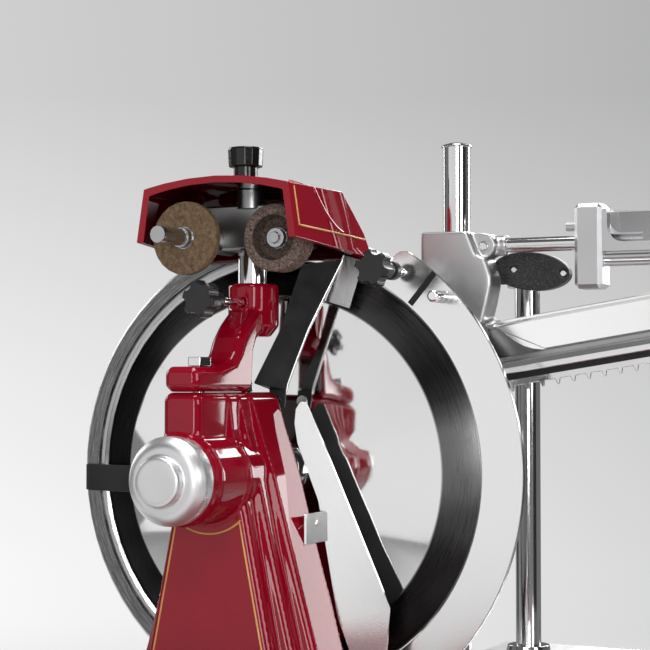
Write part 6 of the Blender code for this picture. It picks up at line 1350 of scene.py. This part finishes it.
class SLICER_OT_press_pieces(bpy.types.Operator):
    """Models the press handle, painted shade on the arm's faces and the wing's hollow, a painted
    shadow above the comb, and the ear's screw and rim
    """

    bl_idname = "slicer.press_pieces"
    bl_label = "Press pieces"

    def execute(self, context):
        self.add_handle()
        self.add_arm_faces()
        self.add_wing_scoop()
        self.add_rod_fittings()
        return {"FINISHED"}

    def add_pad(self):
        """Oval pad with a sunk hole for each screw."""
        deselect()
        bpy.ops.mesh.primitive_circle_add(
            vertices=64,
            radius=1.0,
            fill_type="NGON",
            location=at(*PAD_MIDDLE),
            rotation=(math.radians(90), math.radians(PAD_LEAN), 0),
        )
        pad = named("press_pad")
        pad.scale = (*PAD_HALVES, 1.0)
        settle(pad)
        edit(pad)
        bpy.ops.mesh.extrude_region_move(TRANSFORM_OT_translate={"value": (0, PAD_DEPTH, 0)})
        bpy.ops.mesh.select_all(action="SELECT")
        bpy.ops.mesh.normals_make_consistent(inside=False)
        done()
        places = [at(x, PAD_MIDDLE[1], height) for x, height in PAD_SCREWS]
        cut(pad, *(drill(place, PAD_HOLE_RADIUS, PAD_HOLE_DEPTH) for place in places))
        return eased(pad, 0.0016, 4, 35.0)

    def add_handle(self):
        """Grained pad with two sunk screws, and the neck that joins it to its pivot."""
        pad = self.add_pad()
        neck = wire("press_neck", [at(*spot) for spot in NECK_PATH], NECK_RADIUS, steps=4)
        handle = join([pad, neck], "dressed_press_handle")
        stand_in(handle, "press_handle", "grained_plastic")
        for index, (x, height) in enumerate(PAD_SCREWS):
            place = at(x, PAD_SCREW_DEPTH, height)
            head = screw(f"pad_screw_{index}", place, "Y", SMALL_HEAD[0], -SMALL_HEAD[1])
            fit(head, "press_handle", "polished_steel")

    def add_arm_faces(self):
        """Painted shade on the press arm's left facet and lower ledge, and a black sheet as painted
        shadow in the gap above the comb.
        """
        facet = eased(flat("press_arm_facet", on_arm(ARM_FACET), ARM_FRONT, THIN_SHEET), 0.0002, 2)
        fit(facet, "press_arm", "shaded_facet_steel")
        # A darker strip as painted shade along the arm's lower ledge
        band = flat("press_arm_ledge_shade", on_arm(ARM_LEDGE_SHADE), BAND_FRONT, BAND_DEPTH)
        fit(band, "press_arm", "shaded_steel")
        # A black sheet as painted shadow in the gap above the comb
        gap = flat("comb_painted_shadow", on_arm(COMB_SHADOW), ARM_FRONT, THIN_SHEET)
        fit(gap, "press_comb", "black_paint_and_shadow")

    def add_wing_scoop(self):
        """Painted shade in the hollow of the end block's wing: a darker sheet laid over it."""
        corner = Vector(SCOOP_CORNER)
        bend = [corner - Vector(polar(SCOOP_CORNER_RADIUS, turn)) for turn in SCOOP_TURNS]
        scoop = flat("wing_scoop", SCOOP_START + bend + SCOOP_END, SCOOP_FRONT, THIN_SHEET)
        fit(scoop, "press_end_block", "shaded_facet_steel")

    def add_rod_fittings(self):
        """Slotted screw in the bracket's ear and the rim round it."""
        place = at(*EAR_SCREW)
        head = screw("ear_screw", place, "Y", EAR_SCREW_RADIUS, EAR_SCREW_HEIGHT)
        fit(head, "press_bracket", "polished_steel")
        rim = smooth(turned("ear_rim", EAR_RIM_PROFILE, place, steps=40), 30.0)
        fit(rim, "press_bracket", "cast_aluminium")


PROPERTIES = (SlicerSizes, SlicerColours)
STEPS = (
    SLICER_OT_finishes,
    SLICER_OT_stage,
    SLICER_OT_castings,
    SLICER_OT_machined,
    SLICER_OT_knobs,
    SLICER_OT_hub_cap,
    SLICER_OT_small_pieces,
    SLICER_OT_pinstripes,
    SLICER_OT_press_pieces,
)


class SLICER_PT_panel(bpy.types.Panel):
    """Lists the steps that dress the slicer"""

    bl_idname = "SLICER_PT_panel"
    bl_label = "Meat Slicer"
    bl_space_type = "VIEW_3D"
    bl_region_type = "UI"
    bl_category = "Slicer"

    def draw(self, context):
        for step in STEPS:
            self.layout.operator(step.bl_idname)


CLASSES = (*PROPERTIES, *STEPS, SLICER_PT_panel)


def register():
    for kind in CLASSES:
        bpy.utils.register_class(kind)
    bpy.types.Scene.slicer_sizes = bpy.props.PointerProperty(type=SlicerSizes)
    bpy.types.Scene.slicer_colours = bpy.props.PointerProperty(type=SlicerColours)


def unregister():
    del bpy.types.Scene.slicer_colours
    del bpy.types.Scene.slicer_sizes
    for kind in reversed(CLASSES):
        bpy.utils.unregister_class(kind)


def main():
    register()
    bpy.ops.slicer.finishes()
    bpy.ops.slicer.stage()
    bpy.ops.slicer.castings()
    bpy.ops.slicer.machined()
    bpy.ops.slicer.knobs()
    bpy.ops.slicer.hub_cap()
    bpy.ops.slicer.small_pieces()
    bpy.ops.slicer.pinstripes()
    bpy.ops.slicer.press_pieces()


if __name__ == "__main__":
    main()
